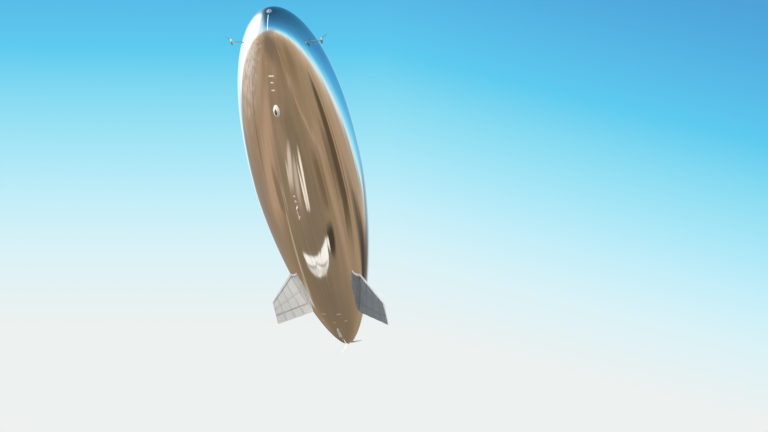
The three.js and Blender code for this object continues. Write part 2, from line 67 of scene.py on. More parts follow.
# Light. A soft dome with what the film mirrors: a sandy plain below the photograph's horizon, a bright band
# on it, blue above and a white glow at starboard. The camera itself sees only a plain sky. One lamp stands in
# for a low sun, and another for the light that the plain throws up.
class Value:
    """A shader socket in an expression: using it adds the Math node that the expression means."""

    def __init__(self, shader, socket):
        self.shader = shader
        self.socket = socket

    def math(self, operation, *others):
        return self.shader.node("ShaderNodeMath", {"operation": operation}, self, *others)

    def __add__(self, other):
        return self.math("ADD", other)

    def __mul__(self, other):
        return self.math("MULTIPLY", other)

    def __sub__(self, other):
        return self.math("SUBTRACT", other)

    def __rsub__(self, other):
        return self.shader.node("ShaderNodeMath", {"operation": "SUBTRACT"}, other, self)

    def __truediv__(self, other):
        return self.math("DIVIDE", other)

    __radd__ = __add__
    __rmul__ = __mul__

    def rise(self, low, high):
        """0 below low, 1 above high and smooth between them. With high under low it falls instead."""
        settings = {"interpolation_type": "SMOOTHSTEP"}
        if low < high:
            return self.shader.node("ShaderNodeMapRange", settings, self, low, high)
        return 1 - self.shader.node("ShaderNodeMapRange", settings, self, high, low)

    def band(self, middle, half):
        """1 at the middle, falling to 0 at half on either side of it."""
        return (self - middle).math("ABSOLUTE").rise(half, 0)


class Shader:
    """The nodes of one material or of the world."""

    def __init__(self, tree):
        self.tree = tree
        tree.nodes.clear()

    def node(self, kind, settings=None, *values, out=0, **named):
        """Adds a node: first its settings, then its sockets in order and by name."""
        made = self.tree.nodes.new(kind)
        for key, setting in (settings or {}).items():
            if key == "stops":
                self.set_stops(made.color_ramp, setting)
            else:
                setattr(made, key, setting)
        for key, value in [*enumerate(values), *named.items()]:
            self.put(made.inputs[key if isinstance(key, int) else key.replace("_", " ")], value)
        return Value(self, made.outputs[out]) if made.outputs else None

    def put(self, socket, value):
        """Links a value to a socket, or sets a number, colour or vector on it."""
        if isinstance(value, Value):
            self.tree.links.new(value.socket, socket)
        else:
            socket.default_value = value

    def set_stops(self, ramp, stops):
        """Puts (place, colour) stops on a colour ramp."""
        while len(ramp.elements) > 1:
            ramp.elements.remove(ramp.elements[-1])
        ramp.elements[0].position, ramp.elements[0].color = stops[0]
        for place, tone in stops[1:]:
            ramp.elements.new(place).color = tone

    def mix(self, share, a, b, blend="MIX"):
        """Mixes two colours by a share from 0 to 1."""
        made = self.tree.nodes.new("ShaderNodeMix")
        made.data_type = "RGBA"
        made.blend_type = blend
        for index, value in ((0, share), (6, a), (7, b)):
            self.put(made.inputs[index], value)
        return Value(self, made.outputs[2])

    def dot(self, vector, direction):
        return self.node("ShaderNodeVectorMath", {"operation": "DOT_PRODUCT"}, vector, direction, out=1)

    def parts(self, vector):
        """The x, y and z of a vector."""
        made = self.tree.nodes.new("ShaderNodeSeparateXYZ")
        self.tree.links.new(vector.socket, made.inputs[0])
        return [Value(self, socket) for socket in made.outputs]

    def vector(self, x, y, z):
        return self.node("ShaderNodeCombineXYZ", None, x, y, z)


def noise(shader, place, scale, detail):
    """Soft noise from 0 to 1, centred on 0.5."""
    return shader.node("ShaderNodeTexNoise", None, Vector=place, Scale=scale, Detail=detail)


def colour(red, green, blue, shine=1.0):
    """The light that shows as a screen's colour, 0 to 255, after a surface of that shine has dulled it."""
    shares = [c / 255 for c in (red, green, blue)]
    light = [c / 12.92 if c <= 0.04045 else ((c + 0.055) / 1.055) ** 2.4 for c in shares]
    return (*[c / shine for c in light], 1.0)


# How much of the light that meets it the film gives back.
FILM_SHINE = 0.8


def in_film(red, green, blue):
    """The dome's light at a place where the film shows this colour."""
    return colour(red, green, blue, FILM_SHINE)


# Columns: height above the photograph's horizon in degrees, colour in the film.
DOME = [
    (-90, (128, 112, 90)),
    (-70, (132, 114, 90)),
    (-48, (156, 131, 103)),
    (-28, (158, 134, 106)),
    (-16, (164, 139, 110)),
    (-11, (180, 155, 126)),
    (-7, (196, 176, 152)),
    (-4.5, (206, 198, 186)),
    (-2.2, (222, 232, 232)),
    (-0.5, (203, 234, 243)),
    (1.5, (167, 223, 241)),
    (4, (126, 205, 233)),
    (6, (99, 190, 226)),
    (8.5, (81, 170, 215)),
    (12, (71, 155, 205)),
    (16, (66, 138, 187)),
    (24, (60, 126, 168)),
    (32, (52, 112, 153)),
    (43, (47, 104, 142)),
    (90, (42, 86, 120)),
]
# The plain's own grain: how often it repeats on the chart, and what it does to the colour.
SOIL_GRAIN = 9
SOIL_SHADE = (0.60, 0.56, 0.48, 1)
TINT_GRAIN = 3.5
TINT = (178, 146, 122)
# Small dark and pale spots on the plain at starboard, from where on the chart's second axis they are full.
LITTER_GRAIN = 22
LITTER_EDGE = (-0.45, -0.65)
LITTER_DARK = (150, 130, 112)
LITTER_PALE = (226, 206, 198)
# What lies on the plain. Places are on a chart of the lower half of the dome: straight down is 0, 0, the
# horizon is a circle of radius 1, the first axis runs towards the camera and the second to the right.
# Columns: place, half length, half width, way of its length, colour in the film, strength, softness.
ON_PLAIN = [
    ((-0.20, -0.80), 0.370, 0.170, (1.00, -0.12), (219, 205, 193), 0.92, 0.7),
    ((-0.28, -0.88), 0.300, 0.045, (0.95, -0.30), (234, 225, 216), 0.85, 0.6),
    ((0.10, -0.54), 0.200, 0.100, (1.00, -0.10), (178, 157, 135), 0.70, 0.8),
    ((-0.80, -0.42), 0.330, 0.110, (0.50, -0.87), (158, 152, 143), 0.85, 0.6),
    ((-0.60, -0.42), 0.260, 0.100, (1.00, 0.00), (138, 122, 106), 0.70, 0.8),
    ((0.82, -0.38), 0.480, 0.120, (0.42, 0.91), (148, 136, 122), 0.75, 0.7),
    ((-0.53, 0.66), 0.280, 0.070, (0.78, 0.62), (162, 140, 118), 0.75, 0.7),
    ((-0.67, 0.65), 0.170, 0.040, (0.70, 0.71), (164, 146, 128), 0.90, 0.5),
    ((-0.85, 0.00), 0.350, 0.250, (0.00, 1.00), (110, 100, 90), 0.70, 0.7),
    ((-0.76, -0.09), 0.240, 0.070, (1.00, 0.00), (88, 84, 77), 0.90, 0.6),
    ((0.45, 0.05), 0.150, 0.120, (1.00, 0.00), (128, 107, 84), 0.70, 0.8),
    ((0.57, -0.25), 0.180, 0.330, (1.00, 0.00), (119, 101, 83), 0.85, 0.6),
    ((0.45, 0.37), 0.190, 0.120, (1.00, 0.00), (132, 110, 83), 0.80, 0.7),
    ((-0.37, 0.02), 0.250, 0.320, (1.00, 0.00), (116, 101, 81), 0.80, 0.5),
    ((-0.85, 0.40), 0.150, 0.080, (1.00, 0.00), (125, 127, 127), 0.80, 0.4),
    ((-0.12, 0.68), 0.220, 0.050, (-0.90, -0.42), (172, 145, 118), 0.60, 0.8),
    ((0.30, 0.74), 0.150, 0.070, (-0.90, 0.40), (184, 159, 132), 0.60, 0.8),
    ((-0.12, -0.36), 0.270, 0.060, (-1.00, -0.12), (184, 152, 126), 0.80, 0.6),
    ((-0.13, 0.37), 0.180, 0.030, (-1.00, 0.00), (168, 142, 116), 0.70, 0.6),
    ((-0.09, 0.50), 0.110, 0.040, (-1.00, -0.10), (104, 88, 68), 0.75, 0.7),
    ((-0.10, 0.60), 0.240, 0.070, (-0.87, -0.50), (80, 65, 49), 0.90, 0.35),
    ((-0.22, 0.475), 0.060, 0.030, (-0.60, -0.80), (100, 84, 66), 0.80, 0.6),
    ((-0.61, 0.50), 0.270, 0.050, (-0.90, -0.44), (85, 75, 66), 0.90, 0.6),
    ((-0.638, 0.460), 0.090, 0.040, (-0.48, -0.88), (68, 66, 64), 0.95, 0.5),
    ((-0.11, 0.21), 0.060, 0.030, (-0.07, 1.00), (62, 53, 46), 0.95, 0.5),
    ((0.01, 0.27), 0.060, 0.040, (-0.95, 0.30), (108, 88, 66), 0.80, 0.6),
    ((-0.17, -0.31), 0.045, 0.040, (1.00, 0.00), (125, 106, 82), 0.80, 0.6),
    ((0.42, 0.13), 0.250, 0.012, (-0.91, 0.41), (180, 152, 124), 0.70, 0.7),
    ((0.13, 0.30), 0.130, 0.012, (-0.77, 0.63), (180, 152, 124), 0.70, 0.7),
    ((-0.34, -0.255), 0.280, 0.008, (1.00, 0.00), (186, 168, 146), 0.85, 0.6),
    ((-0.54, -0.258), 0.080, 0.012, (1.00, 0.00), (200, 190, 176), 0.85, 0.6),
    ((-0.27, -0.49), 0.090, 0.008, (-0.73, 0.68), (112, 92, 76), 0.90, 0.5),
    ((0.026, -0.048), 0.055, 0.018, (-0.80, -0.60), (196, 181, 163), 0.80, 0.6),
    ((0.028, -0.108), 0.075, 0.020, (-0.79, -0.61), (215, 200, 182), 0.80, 0.5),
    ((0.041, 0.030), 0.060, 0.020, (-0.93, -0.37), (248, 234, 214), 1.00, 0.4),
    ((-0.176, -0.064), 0.125, 0.020, (0.38, 0.92), (247, 242, 234), 1.00, 0.12),
    ((-0.132, 0.061), 0.115, 0.020, (0.29, 0.96), (247, 242, 234), 1.00, 0.12),
    ((-0.204, -0.102), 0.080, 0.009, (0.45, 0.89), (204, 200, 190), 0.80, 0.3),
    ((-0.160, 0.020), 0.060, 0.008, (0.29, 0.96), (206, 202, 192), 0.80, 0.4),
    ((-0.194, -0.102), 0.080, 0.003, (0.50, 0.87), (140, 126, 110), 0.80, 0.5),
    ((-0.147, 0.028), 0.075, 0.003, (0.18, 0.98), (140, 126, 110), 0.80, 0.5),
]
# High above the horizon the chart's third axis leaves it, so that nothing on the plain shows there.
CHART_LEFT = (0.5, 0.7)
CHART_LIFT = 4
CHART_STOP = 0.3
# Azimuths are in degrees from the level way towards the camera, round by the right. An edge, reach, foot or
# top is where a thing starts to show and where it is full. Its heights are sines of the angle above level.
PLAIN_EDGE = (-0.02, -0.16)
SKY_EDGE = (-0.07, 0.0)
GLOW_AZIMUTH = -109
GLOW_HEIGHT = math.radians(8)
GLOW_REACH = (math.cos(math.radians(44)), math.cos(math.radians(24)))
GLOW_FOOT = (-0.11, -0.015)
GLOW_WHITE = colour(255, 254, 252, 0.62)
# The halo round the glow is wider along the horizon than above it.
HALO_FLAT = 0.5
HALO_REACH = (0.15, 0.70)
HALO_BLUE = (212, 238, 246)
# Pale haze on the horizon beyond the airship.
HAZE_AZIMUTH = -160
HAZE_REACH = (0.75, 0.97)
HAZE_TOP = (0.27, 0.05)
HAZE_BLUE = (212, 230, 232)
# Columns: height above the horizon as the sine of its angle, the backdrop's colour.
BACKDROP = [
    (0.005, (237, 241, 240)),
    (0.0375, (218, 242, 247)),
    (0.059, (196, 238, 249)),
    (0.081, (167, 230, 247)),
    (0.103, (136, 219, 242)),
    (0.125, (95, 203, 239)),
    (0.144, (89, 189, 233)),
    (0.164, (82, 175, 224)),
    (0.182, (78, 164, 217)),
]
BACKDROP_TOP = 0.19
# How much sooner the backdrop darkens towards the right.
BACKDROP_LEAN = 0.25
# How much weaker the dome is for matt surfaces, which the two lamps light.
DOME_DIMMED = 0.4

world = bpy.data.worlds.new("soft_dome")
bpy.context.scene.world = world
world.use_nodes = True
dome = Shader(world.node_tree)
gaze = dome.node("ShaderNodeTexCoord")
height = dome.dot(gaze, SKYWARD)
stops = [((math.sin(math.radians(h)) + 1) / 2, in_film(*c)) for h, c in DOME]
light = dome.node("ShaderNodeValToRGB", {"stops": stops}, (height + 1) * 0.5)

toward_camera = (-ahead + SKYWARD * ahead.dot(SKYWARD)).normalized()
away = (1 - height).math("MAXIMUM", CHART_STOP)
aloft = height.rise(*CHART_LEFT) * CHART_LIFT
chart = dome.vector(dome.dot(gaze, toward_camera) / away, dome.dot(gaze, across) / away, aloft)
soil = noise(dome, chart, SOIL_GRAIN, 4)
tint = noise(dome, chart, TINT_GRAIN, 2)
plain = height.rise(*PLAIN_EDGE)
light = dome.mix(plain * (soil.rise(0.35, 0.7) * 0.22), light, SOIL_SHADE, "MULTIPLY")
light = dome.mix(plain * (tint.rise(0.45, 0.7) * 0.35), light, in_film(*TINT))
for (u, v), half_length, half_width, (along_u, along_v), shown, strength, softness in ON_PLAIN:
    turn = (0.0, 0.0, math.atan2(along_v, along_u))
    size = (half_length, half_width, 1.0)
    local = dome.node("ShaderNodeMapping", {"vector_type": "TEXTURE"}, chart, (u, v, 0.0), turn, size)
    reach = dome.node("ShaderNodeVectorMath", {"operation": "LENGTH"}, local, out=1)
    share = reach.rise(1 + softness, 1 - softness) * strength
    light = dome.mix(share, light, in_film(*shown))

litter = noise(dome, chart, LITTER_GRAIN, 3)
_, chart_right, _ = dome.parts(chart)
littered = chart_right.rise(*LITTER_EDGE) * plain
light = dome.mix(litter.rise(0.5, 0.62) * littered * 0.6, light, in_film(*LITTER_DARK))
light = dome.mix(litter.rise(0.46, 0.38) * littered * 0.5, light, in_film(*LITTER_PALE))


def level_way(degrees):
    """A level direction, turned from the one towards the camera round by the right."""
    azimuth = math.radians(degrees)
    return toward_camera * math.cos(azimuth) + across * math.sin(azimuth)


sky = height.rise(*SKY_EDGE)
haze = dome.dot(gaze, level_way(HAZE_AZIMUTH)).rise(*HAZE_REACH) * height.rise(*HAZE_TOP)
light = dome.mix(haze * sky, light, in_film(*HAZE_BLUE))
flat_glow = level_way(GLOW_AZIMUTH)
toward_glow = dome.dot(gaze, flat_glow * math.cos(GLOW_HEIGHT) + SKYWARD * math.sin(GLOW_HEIGHT))
halo = (toward_glow - height * HALO_FLAT).rise(*HALO_REACH)
light = dome.mix(halo * sky, light, in_film(*HALO_BLUE))
light = dome.mix(toward_glow.rise(*GLOW_REACH) * height.rise(*GLOW_FOOT), light, GLOW_WHITE)

fade = (height + dome.dot(gaze, across).math("MAXIMUM", 0.0) * BACKDROP_LEAN) / BACKDROP_TOP
stops = [(place / BACKDROP_TOP, colour(*c)) for place, c in BACKDROP]
backdrop = dome.node("ShaderNodeValToRGB", {"stops": stops}, fade)
seen = dome.node("ShaderNodeLightPath")
scattered = dome.node("ShaderNodeLightPath", out=2)
surroundings = dome.mix(seen, light, backdrop)
surroundings = dome.node("ShaderNodeBackground", None, surroundings, 1 - scattered * DOME_DIMMED)
dome.node("ShaderNodeOutputWorld", None, surroundings)

SUN_STRENGTH = 4.8
SUN_SPREAD = math.radians(8)
SUN_HEIGHT = math.radians(20)
SUN_WHITE = (255, 244, 228)
# The fill comes from ahead and below. It has no highlight of its own, because the film mirrors the dome.
FILL_WAY = Vector((0.95, 0.0, -0.3))
FILL_STRENGTH = 3.8
FILL_SPREAD = math.radians(44)
FILL_WHITE = (255, 251, 247)


def make_lamp(name, way, strength, spread, tone):
    """A far lamp that shines from a way."""
    lamp = bpy.data.objects.new(name, bpy.data.lights.new(name, "SUN"))
    bpy.context.scene.collection.objects.link(lamp)
    lamp.data.energy = strength
    lamp.data.angle = spread
    lamp.data.color = colour(*tone)[:3]
    lamp.rotation_mode = "QUATERNION"
    lamp.rotation_quaternion = way.to_track_quat("Z", "Y")
    return lamp


sun_way = flat_glow * math.cos(SUN_HEIGHT) + SKYWARD * math.sin(SUN_HEIGHT)
make_lamp("sun", sun_way, SUN_STRENGTH, SUN_SPREAD, SUN_WHITE)
fill = make_lamp("fill", FILL_WAY, FILL_STRENGTH, FILL_SPREAD, FILL_WHITE)
fill.visible_glossy = False


# Floor. Plain pale ground at the foot of the camera. The film mirrors the dome instead of it, and the fill
# passes through it.
CAMERA_HEIGHT = 0.85
FLOOR_RADIUS = 1500
FLOOR_SIDES = 96
FLOOR_GRAIN = 0.02


def material(name):
    """A new material and its shader."""
    made = bpy.data.materials.new(name)
    made.use_nodes = True
    return made, Shader(made.node_tree)


def object_place(shader):
    """Where a point lies on its own piece, in metres."""
    return shader.node("ShaderNodeTexCoord", out=3)


def finish(shader, **sockets):
    """Ends a material with the Principled shader."""
    surface = shader.node("ShaderNodeBsdfPrincipled", None, **sockets)
    shader.node("ShaderNodeOutputMaterial", None, surface)


def floor_material():
    made, shader = material("pale_floor")
    grain = noise(shader, object_place(shader), FLOOR_GRAIN, 6)
    tone = shader.mix(grain, colour(196, 190, 178), colour(210, 205, 195))
    finish(shader, Base_Color=tone, Roughness=0.9)
    return made


def make_floor():
    z = CAMERA_AT.z - CAMERA_HEIGHT
    turns = [2 * math.pi * i / FLOOR_SIDES for i in range(FLOOR_SIDES)]
    rim = [(FLOOR_RADIUS * math.cos(t), FLOOR_RADIUS * math.sin(t), z) for t in turns]
    mesh = bpy.data.meshes.new("floor")
    mesh.from_pydata(rim, [], [tuple(range(FLOOR_SIDES))])
    mesh.materials.append(floor_material())
    floor = bpy.data.objects.new("floor", mesh)
    bpy.context.scene.collection.objects.link(floor)
    floor.visible_glossy = False
    floor.visible_shadow = False


make_floor()


# Envelope. A closed hull of metallised film, welded from lengthwise gores over hot-sealed seam tapes. Its gas
# holds it tight, so it shows shallow valleys on the seams and long soft ripples between them.
HULL_LENGTH = 32.5
FINENESS = 4.185
HULL_RADIUS = HULL_LENGTH / FINENESS / 2
WIDEST_AT = 0.446
NOSE_FULLNESS = 2.34
TAIL_FULLNESS = 1.6
TAIL_TAPER = 0.665
ORIGIN_BEHIND_NOSE = 15.0
NOSE_RING_AT = 0.00525
TAIL_RING_AT = 31.95
GORES = 32
GORE_STEPS = 12
HULL_ROWS = 200
SEAM_DIP = 0.004
RIPPLE = 0.0035
# Columns: ripples round the hull, turn for each metre along it, start.
RIPPLE_WAVES = [(7, 0.31, 0.4), (13, 0.22, 1.9), (19, 0.43, 3.1), (29, 0.57, 0.7), (41, 0.36, 5.0)]
# The ripples' height at the nose, as a share of their height at the tail.
NOSE_RIPPLE = 0.35
FILM_SILVER = (0.82, 0.818, 0.81, 1)
CLOUD_SILVER = (0.75, 0.745, 0.735, 1)
STREAK_SILVER = (0.74, 0.735, 0.725, 1)
TAPE_SILVER = (0.72, 0.71, 0.69, 1)
# Half width of a seam tape, as a share of a gore.
TAPE_SHARE = 0.022


def hull_radius(at):
    """The envelope's radius, at metres behind the nose."""
    share = np.clip(np.asarray(at, float) / HULL_LENGTH, 0, 1)
    fore = np.clip((WIDEST_AT - share) / WIDEST_AT, 0, 1)
    aft = np.clip((share - WIDEST_AT) / (1 - WIDEST_AT), 0, 1)
    nose = np.sqrt(1 - fore**NOSE_FULLNESS)
    tail = (1 - aft**TAIL_FULLNESS) ** TAIL_TAPER
    return HULL_RADIUS * np.where(share < WIDEST_AT, nose, tail)


def hull_slope(at):
    """Radius gained for each metre aft."""
    step = 1e-4
    return (hull_radius(at + step) - hull_radius(at - step)) / (2 * step)


class Shape:
    """Collects closed bodies and joins them into one mesh. Faces carry the number of their finish."""

    def __init__(self):
        self.points = []
        self.faces = []
        self.finishes = []

    def add(self, points, faces, finish=0):
        first = len(self.points)
        self.points += [tuple(map(float, p)) for p in points]
        self.faces += [tuple(first + i for i in face) for face in faces]
        self.finishes += [finish] * len(faces) if isinstance(finish, int) else list(finish)

    def grid(self, rows, finish=0, caps=True):
        """A skin round rows of points. The last column joins the first, and caps close both ends. finish may
        be a function of row and column."""
        rows = np.asarray(rows, float)
        count, width = rows.shape[:2]
        faces, finishes = [], []
        choose = finish if callable(finish) else lambda i, j: finish
        for i in range(count - 1):
            for j in range(width):
                k = (j + 1) % width
                faces.append((i * width + j, i * width + k, (i + 1) * width + k, (i + 1) * width + j))
                finishes.append(choose(i, j))
        if caps:
            faces.append(tuple(range(width))[::-1])
            faces.append(tuple((count - 1) * width + j for j in range(width)))
            finishes += [choose(0, 0), choose(count - 2, 0)]
        self.add(rows.reshape(-1, 3), faces, finishes)

    def turned(self, profile, place=None, segments=48, finish=0):
        """A body turned about its own X axis from (x, radius) points, in the order in which x falls along the
        outside. A radius of 0 closes an end in a point."""
        place = place or Matrix.Identity(4)
        turns = [2 * math.pi * j / segments for j in range(segments)]
        points, rings = [], []
        for x, radius in profile:
            if radius <= 0:
                rings.append([len(points)] * segments)
                points.append(place @ Vector((x, 0, 0)))
                continue
            rings.append(list(range(len(points), len(points) + segments)))
            points += [place @ Vector((x, radius * math.sin(t), -radius * math.cos(t))) for t in turns]
        faces = []
        for i in range(len(rings) - 1):
            for j in range(segments):
                k = (j + 1) % segments
                face = dict.fromkeys([rings[i][j], rings[i][k], rings[i + 1][k], rings[i + 1][j]])
                if len(face) > 2:
                    faces.append(tuple(face))
        for ring, order in ((rings[0], -1), (rings[-1], 1)):
            if len(set(ring)) > 1:
                faces.append(tuple(ring[::order]))
        self.add(points, faces, finish)

    def rod(self, start, end, radius, segments=12, finish=0):
        """A round rod with chamfered ends between two points."""
        start, end = Vector(start), Vector(end)
        along = (start - end).normalized()
        place = Matrix.Translation(end) @ along.to_track_quat("X", "Z").to_matrix().to_4x4()
        length = (start - end).length
        edge = min(radius, length / 2) * 0.2
        profile = [(length, radius - edge), (length - edge, radius), (edge, radius), (0, radius - edge)]
        self.turned(profile, place, segments, finish)

    def block(self, low, high, place, edge, finish=0):
        """A box with chamfered edges, from its low to its high corner."""
        low, high = Vector(low), Vector(high)
        middle, half = (low + high) / 2, (high - low) / 2
        edge = min(edge, *half)
        corners = {}
        points = []
        for signs in ((x, y, z) for x in (-1, 1) for y in (-1, 1) for z in (-1, 1)):
            for axis in range(3):
                offset = Vector([signs[k] * (half[k] - (0 if k == axis else edge)) for k in range(3)])
                corners[signs, axis] = len(points)
                points.append(place @ (middle + offset))
        faces = []
        for axis in range(3):
            u, v = (axis + 1) % 3, (axis + 2) % 3
            for sign in (-1, 1):
                ring = []
                for a, b in ((-1, -1), (1, -1), (1, 1), (-1, 1)):
                    signs = [0, 0, 0]
                    signs[axis], signs[u], signs[v] = sign, a, b
                    ring.append(corners[tuple(signs), axis])
                faces.append(tuple(ring[::sign]))
            for a in (-1, 1):
                for b in (-1, 1):
                    ring = []
                    for sign, order in ((-1, (u, v)), (1, (v, u))):
                        signs = [0, 0, 0]
                        signs[axis], signs[u], signs[v] = sign, a, b
                        ring += [corners[tuple(signs), k] for k in order]
                    faces.append(tuple(ring[:: a * b]))
        for signs in {key[0] for key in corners}:
            ring = [corners[signs, k] for k in range(3)]
            faces.append(tuple(ring[:: signs[0] * signs[1] * signs[2]]))
        self.add(points, faces, finish)

    def bolt(self, place, radius):
        """A hexagon head on a washer, standing along the place's Z."""
        turn = place @ Matrix.Rotation(-math.pi / 2, 4, "Y")
        self.turned([(radius * 0.3, radius * 1.5), (0, radius * 1.6)], turn, 16)
        self.turned([(radius * 1.1, radius * 0.8), (radius, radius), (radius * 0.3, radius)], turn, 6)

    def turned_by(self, turn):
        """The same shape in another place."""
        other = Shape()
        other.points = [tuple(turn @ Vector(p)) for p in self.points]
        other.faces, other.finishes = self.faces, self.finishes
        return other

    def make(self, name, body, slot, *materials, replaces=(), sharp=35):
        """Turns the shape into a piece of the airship, with all its faces outwards."""
        mesh = bpy.data.meshes.new(name)
        mesh.from_pydata(self.points, [], self.faces)
        for made in materials:
            mesh.materials.append(made)
        mesh.polygons.foreach_set("material_index", self.finishes)
        facing = bmesh.new()
        facing.from_mesh(mesh)
        bmesh.ops.recalc_face_normals(facing, faces=facing.faces[:])
        facing.to_mesh(mesh)
        facing.free()
        mesh.polygons.foreach_set("use_smooth", [True] * len(mesh.polygons))
        mesh.set_sharp_from_angle(angle=math.radians(sharp))
        mesh.update()
        piece = bpy.data.objects.new(name, mesh)
        bpy.context.scene.collection.objects.link(piece)
        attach(piece, body)
        if replaces:
            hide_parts(*replaces)


def film_place(shader):
    """Metres ahead of the origin, degrees from the keel towards port, and the way out from the axis."""
    x, y, z = shader.parts(object_place(shader))
    degrees = y.math("ARCTAN2", z * -1) * math.degrees(1)
    out = shader.node("ShaderNodeVectorMath", {"operation": "NORMALIZE"}, shader.vector(0.0, y, z))
    return x, degrees, out


def stretched(shader, x, out, along, around):
    """A place for noise drawn out along the hull, from its repeats in a metre and in a radian."""
    _, y, z = shader.parts(out)
    return shader.vector(x * along, y * around, z * around)


def bump(shader, height, distance, strength):
    """A surface normal raised by a height."""
    return shader.node("ShaderNodeBump", None, Strength=strength, Distance=distance, Height=height)


def film_material():
    made, shader = material("metallised_film")
    x, degrees, out = film_place(shader)
    broad = noise(shader, stretched(shader, x, out, 0.035, 4.5), 1.0, 2)
    narrow = noise(shader, stretched(shader, x, out, 0.06, 17), 1.0, 3)
    tape = (degrees / (360 / GORES) + 100.5).math("FRACT").band(0.5, TAPE_SHARE)
    silver = shader.mix(broad.rise(0.4, 0.7) * 0.6, FILM_SILVER, CLOUD_SILVER)
    silver = shader.mix(narrow.rise(0.45, 0.75) * 0.5, silver, STREAK_SILVER)
    silver = shader.mix(tape * 0.35, silver, TAPE_SILVER)
    dull = 0.03 + narrow * 0.03 + tape * 0.15
    fine = noise(shader, stretched(shader, x, out, 0.8, 26), 1.0, 3)
    normal = bump(shader, fine * 0.8 + tape * 0.5, 0.004, 0.15)
    finish(shader, Base_Color=silver, Metallic=1.0, Roughness=dull, Normal=normal)
    return made


def ripple(at, turns):
    """Soft lengthwise ripples of the film, from -1 to 1."""
    total = np.zeros(np.broadcast(at, turns).shape)
    for around, along, start in RIPPLE_WAVES:
        total += np.sin(around * turns + along * at + start) / len(RIPPLE_WAVES)
    return total


def hull_points(ats, turns, lift=0.0):
    """Points on the film. turns are radians from the keel towards port."""
    at, turn = np.meshgrid(ats, turns, indexing="ij")
    size = hull_radius(at) / HULL_RADIUS
    gore = np.abs(np.mod(turn * GORES / (2 * np.pi), 1) - 0.5) * 2
    dip = SEAM_DIP * gore**6 * size
    soft = RIPPLE * ripple(at, turn) * size * (NOSE_RIPPLE + (1 - NOSE_RIPPLE) * at / HULL_LENGTH)
    radius = hull_radius(at) - dip - RIPPLE + soft + lift
    return np.stack([ORIGIN_BEHIND_NOSE - at, radius * np.sin(turn), -radius * np.cos(turn)], axis=2)


def ring_at(share):
    """Where the hull's rings lie behind the nose, from share 0 at the first to 1 at the last."""
    first = math.acos(1 - 2 * NOSE_RING_AT / HULL_LENGTH)
    last = math.acos(1 - 2 * TAIL_RING_AT / HULL_LENGTH)
    return HULL_LENGTH * (1 - np.cos(first + (last - first) * share)) / 2


def make_envelope():
    turns = np.arange(GORES * GORE_STEPS) * 2 * np.pi / (GORES * GORE_STEPS)
    hull = Shape()
    hull.grid(hull_points(ring_at(np.linspace(0, 1, HULL_ROWS + 1)), turns))
    hull.make("envelope_film", "airship", "metallised_film", FILM, replaces=["envelope"], sharp=60)


FILM = film_material()
make_envelope()


# Nose. A round plate is bolted to the nose ring over a disc of doubled film, and carries the turned
# alloy spindle that a mooring mast takes. The white plate is coloured blue-grey: painted shade from the blue
# sky.
# A flat white tape is bonded from it down the keel line.
DISC_SIDES = 96
# Columns: metres behind the nose, height over the film.
DISC_LOOPS = [(0.02, -0.004), (0.02, 0.003), (0.05, 0.003), (0.085, 0.003), (0.086, -0.004), (0.02, -0.004)]
DOUBLED_SILVER = (0.7, 0.7, 0.69, 1)
CREASED_SILVER = (0.62, 0.62, 0.61, 1)
PLATE_FRONT = 15.025
PLATE_RADIUS = 0.17
# Columns: metres ahead of the plate's front, radius.
PLATE = [(-0.008, 0.06), (0, 0.068), (0, 0.152), (-0.0025, 0.157), (-0.0125, 0.168), (-0.017, PLATE_RADIUS)]
PLATE += [(-0.075, PLATE_RADIUS)]
SPINDLE_FOOT = 15.0403
# Columns: metres ahead of the origin, radius.
SPINDLE = [
    (15.1553, 0.036),
    (15.1493, 0.045),
    (15.1313, 0.045),
    (15.1253, 0.039),
    (15.1253, 0.027),
    (15.119, 0.025),
    (15.047, 0.025),
    (SPINDLE_FOOT, 0.032),
    (SPINDLE_FOOT, 0.066),
    (15.0373, 0.07),
    (15.0255, 0.07),
]
# Rings of bolts: radius of the ring, number, radius of a bolt.
PLATE_BOLTS = (0.12, 12, 0.0075)
SPINDLE_BOLTS = (0.052, 6, 0.006)
TAPE_ENDS = (0.045, 0.62)
TAPE_STEPS = 26
TAPE_HALF = 0.02
TAPE_HIGH = 0.003
TAPE_SUNK = 0.008
AHEAD = Matrix.Rotation(math.pi / 2, 4, "Y")


def skin_place(at, degrees):
    """Where a fitting sits on the film: X forward along the skin, Y across it and Z out of it."""
    turn = math.radians(degrees)
    outward = Vector((0, math.sin(turn), -math.cos(turn)))
    normal = (outward + Vector((float(hull_slope(at)), 0, 0))).normalized()
    side = Vector((0, -math.cos(turn), -math.sin(turn)))
    middle = outward * float(hull_radius(at)) + Vector((ORIGIN_BEHIND_NOSE - at, 0, 0))
    return Matrix.Translation(middle) @ Matrix((side.cross(normal), side, normal)).transposed().to_4x4()


def plain_material(name, tone, worn, roughness, metallic=0.0, coat=0.0, grain=6.0):
    """A painted or machined surface with soft wear and a fine grain."""
    made, shader = material(name)
    place = object_place(shader)
    cloud = noise(shader, place, grain, 4)
    base = shader.mix(cloud.rise(0.35, 0.75), tone, worn)
    normal = bump(shader, noise(shader, place, grain * 25, 3), 0.0003, 0.3)
    rough = roughness + cloud * 0.12
    finish(shader, Base_Color=base, Metallic=metallic, Roughness=rough, Coat_Weight=coat, Normal=normal)
    return made


def doubled_film_material():
    made, shader = material("doubled_film")
    grain = noise(shader, object_place(shader), 5, 3)
    tone = shader.mix(grain.rise(0.3, 0.7), DOUBLED_SILVER, CREASED_SILVER)
    finish(shader, Base_Color=tone, Metallic=1.0, Roughness=grain * 0.1 + 0.16)
    return made


